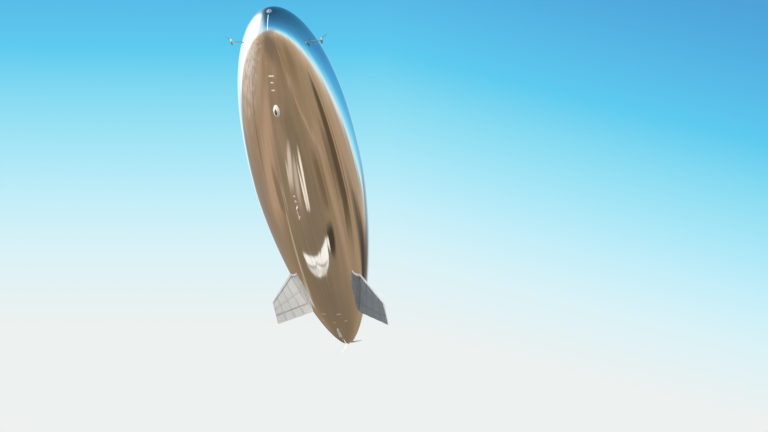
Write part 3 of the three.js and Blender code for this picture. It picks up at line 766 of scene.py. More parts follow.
DOUBLED_FILM = doubled_film_material()
ALLOY = plain_material("machined_alloy", (0.72, 0.73, 0.75, 1), (0.6, 0.61, 0.63, 1), 0.4, metallic=0.8)
# Painted shade: the white plate's blue-grey stands in for the sky's shade on it.
PLATE_SKY_SHADE = plain_material("plate_painted_sky_shade", colour(134, 152, 168), colour(122, 142, 158), 0.4)
EDGE_WHITE = plain_material("bright_white", colour(238, 245, 255), colour(228, 235, 246), 0.45)


def bolt_ring(shape, place, circle, count, radius):
    """Bolts round a circle on a face that looks along the place's Z."""
    for i in range(count):
        turn = Matrix.Rotation(2 * math.pi * i / count, 4, "Z")
        shape.bolt(place @ turn @ Matrix.Translation((circle, 0, 0)), radius)


def make_disc():
    disc = Shape()
    turns = np.arange(DISC_SIDES) * 2 * np.pi / DISC_SIDES
    disc.grid(np.concatenate([hull_points([at], turns, lift) for at, lift in DISC_LOOPS]), caps=False)
    disc.make("nose_disc", "airship", "metallised_film", DOUBLED_FILM)


def make_plate():
    plate = Shape()
    plate.turned([(PLATE_FRONT + x, radius) for x, radius in PLATE], segments=64)
    bolt_ring(plate, Matrix.Translation((PLATE_FRONT, 0, 0)) @ AHEAD, *PLATE_BOLTS)
    plate.make("mooring_plate", "airship", "white_composite", PLATE_SKY_SHADE, replaces=["nose_plate"])


def make_spindle():
    spindle = Shape()
    spindle.turned(SPINDLE, segments=40)
    bolt_ring(spindle, Matrix.Translation((SPINDLE_FOOT, 0, 0)) @ AHEAD, *SPINDLE_BOLTS)
    spindle.make("mooring_spindle", "airship", "machined_alloy", ALLOY, replaces=["nose_spindle"])


def make_tape():
    tape = Shape()
    half = TAPE_HALF
    corners = [(-half, -TAPE_SUNK), (half, -TAPE_SUNK), (half, TAPE_HIGH), (-half, TAPE_HIGH)]
    places = [skin_place(at, 0) for at in np.linspace(*TAPE_ENDS, TAPE_STEPS)]
    tape.grid([[place @ Vector((0, y, z)) for y, z in corners] for place in places])
    tape.make("nose_tape", "airship", "load_patch", EDGE_WHITE)


make_disc()
make_plate()
make_spindle()
make_tape()


# Fins and rudders. Each is a tube frame under taut quilted fabric that lets light through: a moulded white
# leading edge, and panels that swell between the seams over the spar and the slanting ribs. The rudder hangs
# on three pins in alloy lugs. Edges are (metres behind the nose, distance from the axis) at root and tip.
FIN_LEAD = ((23.375, 3.035), (25.36, 4.83))
FIN_TRAIL = ((27.92, 2.05), (27.8, 4.765))
FIN_FOOT = 2.05
FIN_TIP = 4.8
FIN_HALF_ROOT = 0.073
FIN_HALF_TIP = 0.043
THICKEST_AT = 0.3
EDGE_SHARE = 0.2
HINGE_AT = 26.9
HINGE_RADII = (2.65, 3.6, 4.55)
HINGE_GAP = 0.012
SLOT_HALF = 0.0225
SLOT_DEEP = 0.03
LUG_HALF = 0.019
LUG_WIDE = 0.025
LUG_ROOT = 0.02
PIN_RADIUS = 0.009
PIN_REACH = 0.026
# Distance of each rib from the axis at the hinge.
RIBS = (2.9, 3.54, 4.18)
# Columns: distance from the axis at the hinge, how far the fabric's threads slant inwards in a metre aft.
SLANTS = ((2.28, 0.235), (2.9, 0.2), (3.54, 0.13), (4.18, 0.09), (4.7, 0.0))
RIB_HALF = 0.034
SEAM_DEEP = 0.003
SWELL = 0.014
NOTCH = 0.03
CAP_WIDE = 0.24
CAP_GROOVE = 0.06
TIP_CAP = 0.06
ROOT_SUNK = 0.06
ROOT_SEAM = 0.035
ROOT_HEM = 0.02
ROOT_GAP = 0.032
# How far the fin's back seam and its hem lie ahead of its back edge.
BACK_SEAM = 0.07
BACK_HEM = 0.01
# How far behind the hinge the rudder's fabric starts, how wide its seam and hem are, and its thin back edge.
RUDDER_FROM = 0.01
RUDDER_SEAM = 0.05
RUDDER_HEM = 0.02
RUDDER_EDGE = 0.006
EDGE_DRAWN = 0.6
THINNEST = 0.002
# Where the spar crosses the foot rib, how far it runs aft for each metre outwards, and how near it comes to
# the leading edge.
SPAR_AT = 25.42
SPAR_FOOT = 2.75
SPAR_RAKE = 0.42
SPAR_NEAREST = 0.45
# Rows of faces in a bay between ribs, and columns ahead of the spar and behind it.
BAY_ROWS = 7
FORE_COLUMNS = 7
AFT_COLUMNS = 8
# Places across the leading edge's moulding, as shares of its width.
EDGE_SHARES = (0.003, 0.025, 0.08, 0.18, 0.35, 0.65)
# The step before the tip's moulding, how wide its round is, and how thin it ends, as a share.
TIP_STEP = 0.004
TIP_ROUND = 0.02
TIP_DRAWN = 0.45
# Points round the half circle of the rudder's nose and of a lug.
NOSE_STEPS = 13
FIN_TURNS = {"top": 0, "port": -120, "starboard": 120}
FABRIC_FACE, SEAM_FACE, EDGE_FACE, DARK_FACE = range(4)


def fabric_material(name, tone, worn, through, share):
    """Coated fabric of which a share lets light through."""
    made, shader = material(name)
    place = object_place(shader)
    cloud = noise(shader, place, 1.6, 4)
    weave = noise(shader, place, 70, 2)
    lit = shader.node(
        "ShaderNodeBsdfPrincipled",
        None,
        Base_Color=shader.mix(cloud.rise(0.35, 0.7), tone, worn),
        Roughness=0.6,
        Normal=bump(shader, weave + cloud * 4, 0.001, 0.3),
    )
    glowing = shader.node("ShaderNodeBsdfTranslucent", None, through)
    cloth = shader.node("ShaderNodeMixShader", None, share, lit, glowing)
    shader.node("ShaderNodeOutputMaterial", None, cloth)
    return made


THROUGH_FABRIC = (0.89, 0.91, 0.93, 1)
THROUGH_SEAM = (0.83, 0.83, 0.84, 1)
FABRIC = fabric_material("fin_fabric", colour(164, 163, 163), colour(156, 155, 154), THROUGH_FABRIC, 0.59)
SEAM = fabric_material("fabric_seam", colour(150, 149, 148), colour(142, 141, 140), THROUGH_SEAM, 0.5)
GROOVE = plain_material("shadow_gap", colour(118, 115, 112), colour(106, 103, 100), 0.7)
FIN_SKINS = (FABRIC, SEAM, EDGE_WHITE, GROOVE)


def fin_edge(line, radius):
    """Where a straight fin edge lies, in metres behind the nose, at a distance from the axis."""
    (at0, radius0), (at1, radius1) = line
    return at0 + (at1 - at0) * (radius - radius0) / (radius1 - radius0)


def fin_half(at, radius):
    """Half thickness of the fin's section."""
    lead, trail = fin_edge(FIN_LEAD, radius), fin_edge(FIN_TRAIL, radius)
    share = (at - lead) / (trail - lead)
    half = FIN_HALF_ROOT + (FIN_HALF_TIP - FIN_HALF_ROOT) * (radius - FIN_FOOT) / (FIN_TIP - FIN_FOOT)
    if share < THICKEST_AT:
        return half * math.sqrt(max(0.0, 1 - ((THICKEST_AT - share) / THICKEST_AT) ** 2))
    return half * (1 - (1 - EDGE_SHARE) * (share - THICKEST_AT) / (1 - THICKEST_AT))


def slanting(radius):
    """The line that passes the hinge at a distance from the axis and slants as the ribs do there."""
    slant = float(np.interp(radius, *zip(*SLANTS)))
    return lambda at: radius + slant * (HINGE_AT - at)


def along_hull(gap):
    """The line at a gap from the envelope."""
    return lambda at: float(hull_radius(at)) + gap


def meeting(line, edge):
    """Where a line between root and tip meets an edge, which is a function of radius."""
    at = HINGE_AT
    for _ in range(16):
        at = edge(line(at))
    return at


def fabric_rows(root, extra=()):
    """Rows from root to tip, as (line, share across the bay or None on a rib, finish above it)."""
    rows = list(root)
    low = float(hull_radius(HINGE_AT)) + ROOT_SEAM + ROOT_HEM
    for rib in (*RIBS, FIN_TIP - TIP_CAP):
        high = rib - (RIB_HALF if rib in RIBS else 0)
        places = [low + (high - low) * i / BAY_ROWS for i in range(BAY_ROWS)]
        places = sorted({*places, *[r for r in extra if low < r < high]})
        rows += [(slanting(r), (r - low) / (high - low), FABRIC_FACE) for r in places]
        rows.append((slanting(high), 1.0, SEAM_FACE))
        low = rib + (RIB_HALF if rib in RIBS else TIP_STEP)
    rows += [(slanting(r), None, EDGE_FACE) for r in (low, FIN_TIP - TIP_ROUND, FIN_TIP)]
    return rows


def pillow(share_up, share_along):
    """How far fabric swells at a place between its seams."""
    if share_up is None or share_along is None:
        return -SEAM_DEEP
    rise = 4 * share_up * (1 - share_up) * 4 * share_along * (1 - share_along)
    return SWELL * rise**0.5 - SEAM_DEEP


def panel(first, last, steps):
    """Places along a fabric panel, each with its share of the way along."""
    return [(first + (last - first) * i / steps, i / steps, FABRIC_FACE) for i in range(steps)]


def fin_columns(line):
    """Places from the leading edge to the fin's back, as (at, share along the panel, finish behind it)."""
    lead = meeting(line, lambda radius: fin_edge(FIN_LEAD, radius))
    back = HINGE_AT - fin_half(HINGE_AT, line(HINGE_AT)) - HINGE_GAP
    spar = meeting(line, lambda radius: SPAR_AT + SPAR_RAKE * (radius - SPAR_FOOT))
    spar = max(spar, lead + SPAR_NEAREST)
    front = lead + CAP_WIDE + CAP_GROOVE
    return [
        *[(lead + CAP_WIDE * share, None, EDGE_FACE) for share in EDGE_SHARES],
        (lead + CAP_WIDE, None, DARK_FACE),
        *panel(front, spar - RIB_HALF, FORE_COLUMNS),
        (spar - RIB_HALF, None, SEAM_FACE),
        *panel(spar + RIB_HALF, back - BACK_SEAM, AFT_COLUMNS),
        (back - BACK_SEAM, None, SEAM_FACE),
        (back - BACK_HEM, None, SEAM_FACE),
        (back, None, SEAM_FACE),
    ]


def rudder_columns(line, share_up):
    """Places from the rudder's round nose to its back edge, which is notched at the ribs."""
    notch = NOTCH
    if share_up is not None:
        notch *= 1 - math.sqrt(max(4 * share_up * (1 - share_up), 0))
    trail = meeting(line, lambda radius: fin_edge(FIN_TRAIL, radius)) - notch
    start = HINGE_AT + RUDDER_FROM
    return [
        (start, None, SEAM_FACE),
        *panel(start + RUDDER_SEAM, trail - RUDDER_HEM, AFT_COLUMNS),
        (trail - RUDDER_HEM, None, FABRIC_FACE),
        (trail - RUDDER_EDGE, None, FABRIC_FACE),
        (trail, None, FABRIC_FACE),
    ]


def section(line, share_up, columns, nose):
    """One closed row round a fin or rudder. nose holds its front points as (at, across)."""
    side = []
    for k, (at, share_along, _) in enumerate(columns):
        half = max(fin_half(at, line(at)) + pillow(share_up, share_along), THINNEST)
        side.append((at, half * (EDGE_DRAWN if k == len(columns) - 1 else 1)))
    ring = [*nose, *side, *[(at, -half) for at, half in reversed(side)]]
    return [(ORIGIN_BEHIND_NOSE - at, across, min(line(at), FIN_TIP)) for at, across in ring]


def ring_finish(rows, columns, front):
    """Finish of each face round a fin or rudder, by row and column. Both sides match."""
    kinds = [kind for _, _, kind in columns]
    round_nose = [EDGE_FACE if front == 1 else SEAM_FACE] * front
    around = [*round_nose, *kinds, *reversed(kinds[:-1]), round_nose[0]]

    def choose(i, j):
        pair = (rows[i][2], around[j])
        if EDGE_FACE in pair:
            return EDGE_FACE
        return max(pair)

    return choose


def tip_capped(rings):
    """Draws the last ring in, so that the tip cap is rounded."""
    return [*rings[:-1], [(x, y * TIP_DRAWN, z) for x, y, z in rings[-1]]]


def fin_shape():
    root = [
        (along_hull(-ROOT_SUNK), None, SEAM_FACE),
        (along_hull(0.0), None, SEAM_FACE),
        (along_hull(ROOT_SEAM), None, FABRIC_FACE),
    ]
    rows = fabric_rows(root)
    shape = Shape()
    rings = []
    for line, share_up, _ in rows:
        columns = fin_columns(line)
        nose = [(meeting(line, lambda radius: fin_edge(FIN_LEAD, radius)), 0.0)]
        rings.append(section(line, share_up, columns, nose))
    shape.grid(tip_capped(rings), ring_finish(rows, columns, 1))
    return shape


def lug_shape():
    """Hinge lugs on the fin's back edge, each a plate round the pin."""
    shape = Shape()
    x = ORIGIN_BEHIND_NOSE - HINGE_AT
    for radius in HINGE_RADII:
        turns = [math.pi / 2 + math.pi * i / (NOSE_STEPS - 1) for i in range(NOSE_STEPS)]
        root = fin_half(HINGE_AT, radius) + HINGE_GAP + LUG_ROOT
        outline = [(LUG_HALF * math.cos(t), LUG_HALF * math.sin(t)) for t in turns]
        outline += [(root, -LUG_HALF), (root, LUG_HALF)]
        low, high = radius - LUG_WIDE / 2, radius + LUG_WIDE / 2
        shape.grid([[(x + a, b, z) for a, b in outline] for z in (low, high)])
    return shape


def rudder_shape():
    slots = [r + side * SLOT_HALF for r in HINGE_RADII for side in (-1.02, -0.98, 0.98, 1.02)]
    rows = fabric_rows([(along_hull(ROOT_GAP), None, FABRIC_FACE)], slots)
    shape = Shape()
    rings = []
    for line, share_up, _ in rows:
        columns = rudder_columns(line, share_up)
        radius = line(HINGE_AT)
        half = fin_half(HINGE_AT, radius)
        turns = [-math.pi / 2 + math.pi * i / (NOSE_STEPS - 1) for i in range(NOSE_STEPS)]
        nose = [(HINGE_AT - half * math.cos(t), half * math.sin(t)) for t in turns]
        if any(abs(radius - r) < SLOT_HALF for r in HINGE_RADII):
            nose = [(HINGE_AT + SLOT_DEEP, across) for _, across in nose]
            columns = [(max(at, HINGE_AT + SLOT_DEEP), share, kind) for at, share, kind in columns]
        rings.append(section(line, share_up, columns, nose))
    shape.grid(tip_capped(rings), ring_finish(rows, columns, NOSE_STEPS))
    return shape


def pin_shape():
    shape = Shape()
    x = ORIGIN_BEHIND_NOSE - HINGE_AT
    for radius in HINGE_RADII:
        shape.rod((x, 0, radius + PIN_REACH), (x, 0, radius - PIN_REACH), PIN_RADIUS, segments=16)
    return shape


def make_fins():
    fin, lugs, rudder, pins = fin_shape(), lug_shape(), rudder_shape(), pin_shape()
    for name, degrees in FIN_TURNS.items():
        turn = Matrix.Rotation(math.radians(degrees), 4, "X")
        for node, body, skin, hinge, kind in (
            (f"fin_{name}", "airship", fin, lugs, "lugs"),
            (f"rudder_{name}", f"rudder_{name}", rudder, pins, "pins"),
        ):
            skin = skin.turned_by(turn)
            skin.make(f"{node}_skin", body, "fin_fabric", *FIN_SKINS, replaces=[node], sharp=28)
            hinge.turned_by(turn).make(f"{node}_{kind}", body, "machined_alloy", ALLOY)


make_fins()


# Tail. A cone of the same silver film on a light frame closes the hull. An electric motor is bolted to its
# end and turns a pusher propeller: a white spinner and three pale composite blades in alloy ferrules.
GEL_COAT = plain_material("white_gel_coat", colour(238, 236, 231), colour(224, 221, 214), 0.26, coat=0.35)
BLADE = plain_material("blade_composite", colour(214, 221, 209), colour(198, 206, 194), 0.38, grain=10)
# Where the cone laps the hull: metres behind the nose, height over the film.
CONE_LAP = [(31.8, 0.009), (31.95, 0.0095)]
# Columns: metres behind the nose, radius.
CONE = [(32.11, 0.328), (32.17, 0.262), (32.225, 0.17), (32.24, 0.139)]
CONE_RINGS = np.linspace(31.81, 32.238, 24)
CONE_EASE = 0.02
# The cone's turned-in front edge: metres behind its front, depth under the skin.
CONE_LIP = [(0, 0.006), (0.003, 0)]
CONE_BOLTS = 24
CONE_BOLTS_AT = 31.84
CONE_BOLT_RADIUS = 0.005
CONE_BOLT_SUNK = 0.004
# The motor runs from its foot on the cone to its face, behind the origin.
MOTOR_FOOT = -17.2405
MOTOR_FACE = -17.3475
MOTOR_RADIUS = 0.095
# Chamfers of its foot and face: along the motor, across it.
MOTOR_FOOT_EDGE = (0.004, 0.012)
MOTOR_FACE_EDGE = (0.012, 0.014)
COOLING_GROOVES = 6
# Columns: metres behind a groove's ridge, depth under the motor's radius.
GROOVE_SHAPE = [(0, 0), (0.005, 0), (0.005, 0.01), (0.0095, 0.01)]
GROOVES_FROM = 0.022
GROOVE_PITCH = 0.0115
MOTOR_BORE = 0.024
MOTOR_BORE_DEEP = 0.07
MOTOR_BOLTS = (0.062, 6, 0.0035)
TAIL_PROPELLER_AT = -17.425
TAIL_HUB = 0.075
TAIL_TIP = 1.09
TAIL_CHORD = 0.12
TAIL_ANGLES = (43, 163, 283)
# Columns: places ahead of the spinner's middle and radii, in hub radii.
SPINNER_BACK = [(-0.4, 1), (-0.42, 0.965), (-0.48, 0.965), (-0.5, 1), (-0.87, 1), (-0.9, 0.96)]
SPINNER_SHAFT = [(-0.9, 0.3), (-1.9, 0.3)]
# Columns: share of the tip radius, share of the widest chord, thickness over chord, pitch in degrees.
BLADE_SECTIONS = [
    (0.04, 0.30, 0.75, 50),
    (0.10, 0.42, 0.45, 45),
    (0.24, 1.00, 0.16, 34),
    (0.45, 0.95, 0.12, 24),
    (0.70, 0.72, 0.10, 17),
    (0.90, 0.46, 0.10, 13),
    (1.00, 0.20, 0.12, 11),
]
BLADE_ROWS = 40
# The share of the tip radius where the blade's tip starts to round, and the share that the round takes.
TIP_FROM = 0.93
TIP_LONG = 0.0702
TIP_ROWS = [0.955, 0.975, 0.988, 0.996, 1.0]
# Fullness of the blade's back edge and of its flat side, as shares of the round side's front.
BACK_EDGE = 0.62
FLAT_SIDE = 0.55
# The ferrule: its outer and inner end in hub radii, and its radius as a share of the widest chord.
FERRULE_ENDS = (1.45, 0.8)
FERRULE_RADIUS = 0.2
AFT = Matrix.Rotation(math.pi, 4, "Z")


def eased(places, table, reach):
    """Values between a table's rows, with its corners rounded off over reach."""
    table = np.asarray(table, float)
    window = np.hanning(9)[1:-1]
    shifts = np.linspace(-reach, reach, len(window))
    columns = []
    for k in range(1, table.shape[1]):
        layers = [np.interp(places + shift, table[:, 0], table[:, k]) for shift in shifts]
        columns.append(np.average(layers, axis=0, weights=window))
    return np.stack(columns, axis=1)


def blade_shape(tip, chord, hub):
    """A blade that stands up along Z, with its ferrule."""
    shape = Shape()
    shares = np.concatenate([np.linspace(0.05, TIP_FROM, BLADE_ROWS), TIP_ROWS])
    along = np.cos(np.linspace(0, math.pi, 13))
    thick = np.sqrt(np.clip(1 - along**2, 0, 1)) * (BACK_EDGE + (1 - BACK_EDGE) * along)
    outline = [*zip(along, thick), *zip(along[-2:0:-1], -FLAT_SIDE * thick[-2:0:-1])]
    rows = []
    for share, (width, depth, pitch) in zip(shares, eased(shares, BLADE_SECTIONS, 0.05)):
        half = chord * width / 2
        if share > TIP_FROM:
            half *= math.sqrt(max(1 - ((share - TIP_FROM) / TIP_LONG) ** 2, 0.0))
        turn = math.radians(pitch)
        row = []
        for a, b in outline:
            chordwise, rise = a * half, b * half * depth
            x = chordwise * math.sin(turn) + rise * math.cos(turn)
            y = -chordwise * math.cos(turn) + rise * math.sin(turn)
            row.append((x, y, tip * share))
        rows.append(row)
    shape.grid(rows)
    outer, inner = (Vector((0, 0, hub * end)) for end in FERRULE_ENDS)
    shape.rod(outer, inner, chord * FERRULE_RADIUS, segments=20, finish=1)
    return shape


def spinner_shape(hub):
    """A spinner that faces along X, with its parting groove and its shaft."""
    shape = Shape()
    turns = [math.radians(90 - 6 * i) for i in range(1, 16)]
    dome = [(hub * 2, 0)] + [(hub * (0.5 + 1.5 * math.sin(t)), hub * math.cos(t)) for t in turns]
    shape.turned(dome + [(hub * x, hub * r) for x, r in SPINNER_BACK + SPINNER_SHAFT], segments=48)
    return shape


def make_propeller(name, body, hub, tip, chord, facing, angles, nodes, tint):
    """A spinner and its blades. facing puts the disc in its place."""
    spinner, blade = spinner_shape(hub), blade_shape(tip, chord, hub)
    spinner = spinner.turned_by(facing)
    spinner.make(f"{name}_spinner_skin", body, "white_composite", GEL_COAT, replaces=[nodes[0]], sharp=30)
    middle = Matrix.Translation(facing.translation)
    for angle, node in zip(angles, nodes[1:]):
        turn = middle @ Matrix.Rotation(math.radians(angle), 4, "X")
        blade.turned_by(turn).make(f"{node}_skin", body, "blade_composite", tint, ALLOY, replaces=[node])


def make_cone():
    cone = Shape()
    table = [(at, float(hull_radius(at)) + over) for at, over in CONE_LAP] + CONE
    radii = eased(CONE_RINGS, table, CONE_EASE)[:, 0]
    lip = [(CONE_LAP[0][0] + behind, radii[0] - under) for behind, under in CONE_LIP]
    cone.turned([(ORIGIN_BEHIND_NOSE - at, r) for at, r in [*lip, *zip(CONE_RINGS, radii)]], segments=96)
    for i in range(CONE_BOLTS):
        turn = Matrix.Rotation(2 * math.pi * (i + 0.5) / CONE_BOLTS, 4, "X")
        spot = Matrix.Translation((ORIGIN_BEHIND_NOSE - CONE_BOLTS_AT, 0, radii[1] - CONE_BOLT_SUNK))
        cone.bolt(turn @ spot, CONE_BOLT_RADIUS)
    cone.make("tail_cone_skin", "airship", "metallised_film", FILM, replaces=["tail_cone"])


def make_motor():
    motor = Shape()
    (foot_long, foot_deep), (face_long, face_deep) = MOTOR_FOOT_EDGE, MOTOR_FACE_EDGE
    profile = [(MOTOR_FOOT, MOTOR_RADIUS - foot_deep), (MOTOR_FOOT - foot_long, MOTOR_RADIUS)]
    for i in range(COOLING_GROOVES):
        ridge = MOTOR_FOOT - GROOVES_FROM - GROOVE_PITCH * i
        profile += [(ridge - behind, MOTOR_RADIUS - deep) for behind, deep in GROOVE_SHAPE]
    profile += [(MOTOR_FACE + face_long, MOTOR_RADIUS), (MOTOR_FACE, MOTOR_RADIUS - face_deep)]
    profile += [(MOTOR_FACE, MOTOR_BORE), (MOTOR_FACE + MOTOR_BORE_DEEP, MOTOR_BORE)]
    motor.turned(profile, segments=64)
    bolt_ring(motor, Matrix.Translation((MOTOR_FACE, 0, 0)) @ AHEAD.inverted(), *MOTOR_BOLTS)
    motor.make("tail_motor_skin", "airship", "machined_alloy", ALLOY, replaces=["tail_motor"])


def make_tail_propeller():
    facing = Matrix.Translation((TAIL_PROPELLER_AT, 0, 0)) @ AFT
    nodes = ["tail_spinner", "tail_blade_1", "tail_blade_2", "tail_blade_3"]
    sizes = (TAIL_HUB, TAIL_TIP, TAIL_CHORD)
    make_propeller("tail", "tail_propeller", *sizes, facing, TAIL_ANGLES, nodes, BLADE)


make_cone()
make_motor()
make_tail_propeller()


# Outriggers. On each side of the nose a slim composite tube stands on a round foot bolted to the film. It
# carries a streamlined motor pod with a two-bladed tractor propeller.
TUBE_AT = 2.6
TUBE_RADIUS = 0.0275
# The tube starts under the film and ends inside the pod, short of the pod's middle.
TUBE_SUNK = 0.03
TUBE_SHORT = 0.06
# Columns: metres out from the film, radius.
FOOT = [(0.016, 0.05), (0.014, 0.142), (0.006, 0.148), (-0.04, 0.148)]
COLLAR = [(0.07, 0.03), (0.065, 0.036), (0.03, 0.04), (0.012, 0.055)]
FOOT_HIGH = 0.014
FOOT_BOLTS = (0.12, 8, 0.006)
POD_AT = 12.525
POD_SIDE = 3.075
SIDE_HUB = 0.055
SIDE_TIP = 0.69
SIDE_CHORD = 0.085
POD_FACE = POD_AT - SIDE_HUB * 0.9 - 0.01
# Columns: metres behind the pod's front face, radius.
POD_MOUTH = [(0.05, 0.0175), (0, 0.0175), (0, 0.053)]
POD = [(0, 0.058), (0.02, 0.0745), (0.16, 0.077), (0.275, 0.049), (0.335, 0.018), (0.358, 0.004)]
POD_POINT = (0.3595, 0)
POD_RINGS = np.concatenate([np.linspace(0.002, 0.05, 7), np.linspace(0.07, 0.356, 20)])
POD_EASE = 0.012
POD_SEAMS = (0.05, 0.13)
# Columns: metres ahead of a seam's middle, height over the pod.
POD_SEAM = [(0.003, -0.0024), (0.002, 0.0006), (-0.002, 0.0006), (-0.003, -0.0024)]
# Side of the keel plane, and the blades' angles.
SIDES = {"port": (1, (-29, 151)), "starboard": (-1, (50, 230))}
# Painted shade: the pale composite of the tubes, pods and side blades is coloured the blue-grey of its shade
# under the sky.
SKY_SHADE_GREY = plain_material("composite_painted_sky_shade", colour(110, 142, 162), colour(98, 130, 150), 0.4)


def make_tube(name, side):
    skin = float(hull_radius(TUBE_AT))
    x = ORIGIN_BEHIND_NOSE - TUBE_AT
    foot = skin_place(TUBE_AT, 90 * side)
    upright = foot @ Matrix.Rotation(-math.pi / 2, 4, "Y")
    tube = Shape()
    tube.turned(FOOT, upright, 48, 1)
    bolt_ring(tube, foot @ Matrix.Translation((0, 0, FOOT_HIGH)), *FOOT_BOLTS)
    tube.turned(COLLAR, upright, 32)
    ends = [(x, side * y, 0) for y in (POD_SIDE - TUBE_SHORT, skin - TUBE_SUNK)]
    tube.rod(*ends, TUBE_RADIUS, segments=24)
    node = f"outrigger_{name}"
    tube.make(f"{node}_tube", "airship", "blade_composite", SKY_SHADE_GREY, DOUBLED_FILM, replaces=[node])


def make_motor_pod(name, side):
    pod = Shape()
    middle = Matrix.Translation((0, side * POD_SIDE, 0))
    radii = eased(POD_RINGS, POD, POD_EASE)[:, 0]
    profile = [*POD_MOUTH, *zip(POD_RINGS, radii), POD_POINT]
    pod.turned([(POD_FACE - behind, radius) for behind, radius in profile], middle, 48)
    for seam in POD_SEAMS:
        rim = float(eased(np.array([seam]), POD, POD_EASE)[0, 0])
        pod.turned([(POD_FACE - seam + step, rim + over) for step, over in POD_SEAM], middle, 48, 1)
    node = f"motor_pod_{name}"
    pod.make(f"{node}_skin", "airship", "white_composite", SKY_SHADE_GREY, GROOVE, replaces=[node])


def make_side_propeller(name, side, angles):
    facing = Matrix.Translation((POD_AT, side * POD_SIDE, 0))
    nodes = [f"spinner_{name}", f"blade_{name}_1", f"blade_{name}_2"]
    sizes = (SIDE_HUB, SIDE_TIP, SIDE_CHORD)
    make_propeller(name, f"{name}_propeller", *sizes, facing, angles, nodes, SKY_SHADE_GREY)


for name, (side, angles) in SIDES.items():
    make_tube(name, side)
    make_motor_pod(name, side)
    make_side_propeller(name, side, angles)


# Equipment pod. A white moulded shell stands on a thin bolted flange under the nose. A shaded well in its
# floor holds the glass sensor ball.
GONDOLA_AT = 5.875
GONDOLA_HALF = Vector((0.44, 0.18, 0.25))
FLANGE_WIDE = 0.03
# Columns: share of the half sizes, height over the film.
FLANGE = [(1, -0.03), (1, 0.011), (0.99, 0.015), (0.85, 0.015)]
FLANGE_BOLTS = 20
FLANGE_BOLT_RADIUS = 0.0045
FLANGE_BOLT_INSET = 0.014
FLANGE_BOLT_HIGH = 0.014
# The shell curves in to the well's rim at this angle from its foot.
WELL_FROM = 58
SHELL_ROWS = 12
# Columns: change of the share of the half sizes and of the height, from the well's rim.
WELL = [(-0.02, 0.002), (-0.03, -0.004), (-0.04, -0.05)]
WELL_FLOOR = (0.02, -0.05)
HATCHES_AT = (0.27, -0.29)
HATCH_LOW = (-0.04, -0.035, -0.01)
HATCH_HIGH = (0.04, 0.035, 0.003)
SENSOR_AHEAD = -0.025
SENSOR_OUT = 0.22
SENSOR_RADIUS = 0.085
SENSOR_RINGS = 24
GLASS_TINT = (0.06, 0.052, 0.046, 1)


def glass_material():
    made, shader = material("dark_glass")
    smear = noise(shader, object_place(shader), 12, 2)
    finish(shader, Base_Color=GLASS_TINT, Roughness=smear * 0.06 + 0.03, Coat_Weight=0.6)
    return made


GLASS = glass_material()
WELL_GREY = plain_material("shaded_well", colour(132, 122, 114), colour(120, 110, 102), 0.6)


def ellipse_rows(half, levels, place, count=64):
    """Rings round an ellipse. levels are (share of the half sizes, height)."""
    turns = [2 * math.pi * j / count for j in range(count)]
    rows = []
    for share, z in levels:
        ring = [(half[0] * share * math.cos(t), half[1] * share * math.sin(t), z) for t in turns]
        rows.append([place @ Vector(p) for p in ring])
    return rows


def make_flange(place):
    flange = Shape()
    half = (GONDOLA_HALF.x + FLANGE_WIDE, GONDOLA_HALF.y + FLANGE_WIDE)
    flange.grid(ellipse_rows(half, FLANGE, place))
    long, wide = (size - FLANGE_BOLT_INSET for size in half)
    for i in range(FLANGE_BOLTS):
        turn = 2 * math.pi * (i + 0.5) / FLANGE_BOLTS
        spot = Matrix.Translation((long * math.cos(turn), wide * math.sin(turn), FLANGE_BOLT_HIGH))
        flange.bolt(place @ spot, FLANGE_BOLT_RADIUS)
    flange.make("gondola_flange_skin", "airship", "white_composite", GEL_COAT, replaces=["gondola_flange"])


def make_shell(place):
    shell = Shape()
    lifts = [math.radians(WELL_FROM * i / SHELL_ROWS) for i in range(SHELL_ROWS + 1)]
    levels = [(math.cos(lift), GONDOLA_HALF.z * math.sin(lift)) for lift in lifts]
    share, top = levels[-1]
    levels += [(share + inward, top + rise) for inward, rise in WELL]
    levels.append((WELL_FLOOR[0], top + WELL_FLOOR[1]))
    shell.grid(ellipse_rows(GONDOLA_HALF, levels, place), lambda i, j: 1 if i > SHELL_ROWS else 0)
    for x in HATCHES_AT:
        out = math.sqrt(1 - (x / GONDOLA_HALF.x) ** 2)
        hatch = place @ Matrix.Translation((x, 0, GONDOLA_HALF.z * out))
        lean = Matrix.Rotation(math.atan2(x * GONDOLA_HALF.z, GONDOLA_HALF.x**2 * out), 4, "Y")
        shell.block(HATCH_LOW, HATCH_HIGH, hatch @ lean, 0.002, 1)
    node = "gondola_shell"
    shell.make(f"{node}_skin", "airship", "white_composite", GEL_COAT, WELL_GREY, replaces=[node], sharp=30)


def make_sensor(place):
    ball = Shape()
    middle = place @ Matrix.Translation((SENSOR_AHEAD, 0, SENSOR_OUT))
    turns = [math.pi * i / SENSOR_RINGS for i in range(SENSOR_RINGS + 1)]
    ball.turned([(SENSOR_RADIUS * math.cos(t), SENSOR_RADIUS * math.sin(t)) for t in turns], middle, 40)
    ball.make("sensor_ball_glass", "airship", "dark_glass", GLASS, replaces=["sensor_ball"])


gondola_place = skin_place(GONDOLA_AT, 0)
make_flange(gondola_place)
make_shell(gondola_place)
make_sensor(gondola_place)


# Keel fittings. Fabric load patches with sewn straps and alloy rings, two small vents, an antenna boom on two
# feet, tail patches and a long double fairing, all bonded to the film along the keel line.
FITTING_SUNK = 0.03
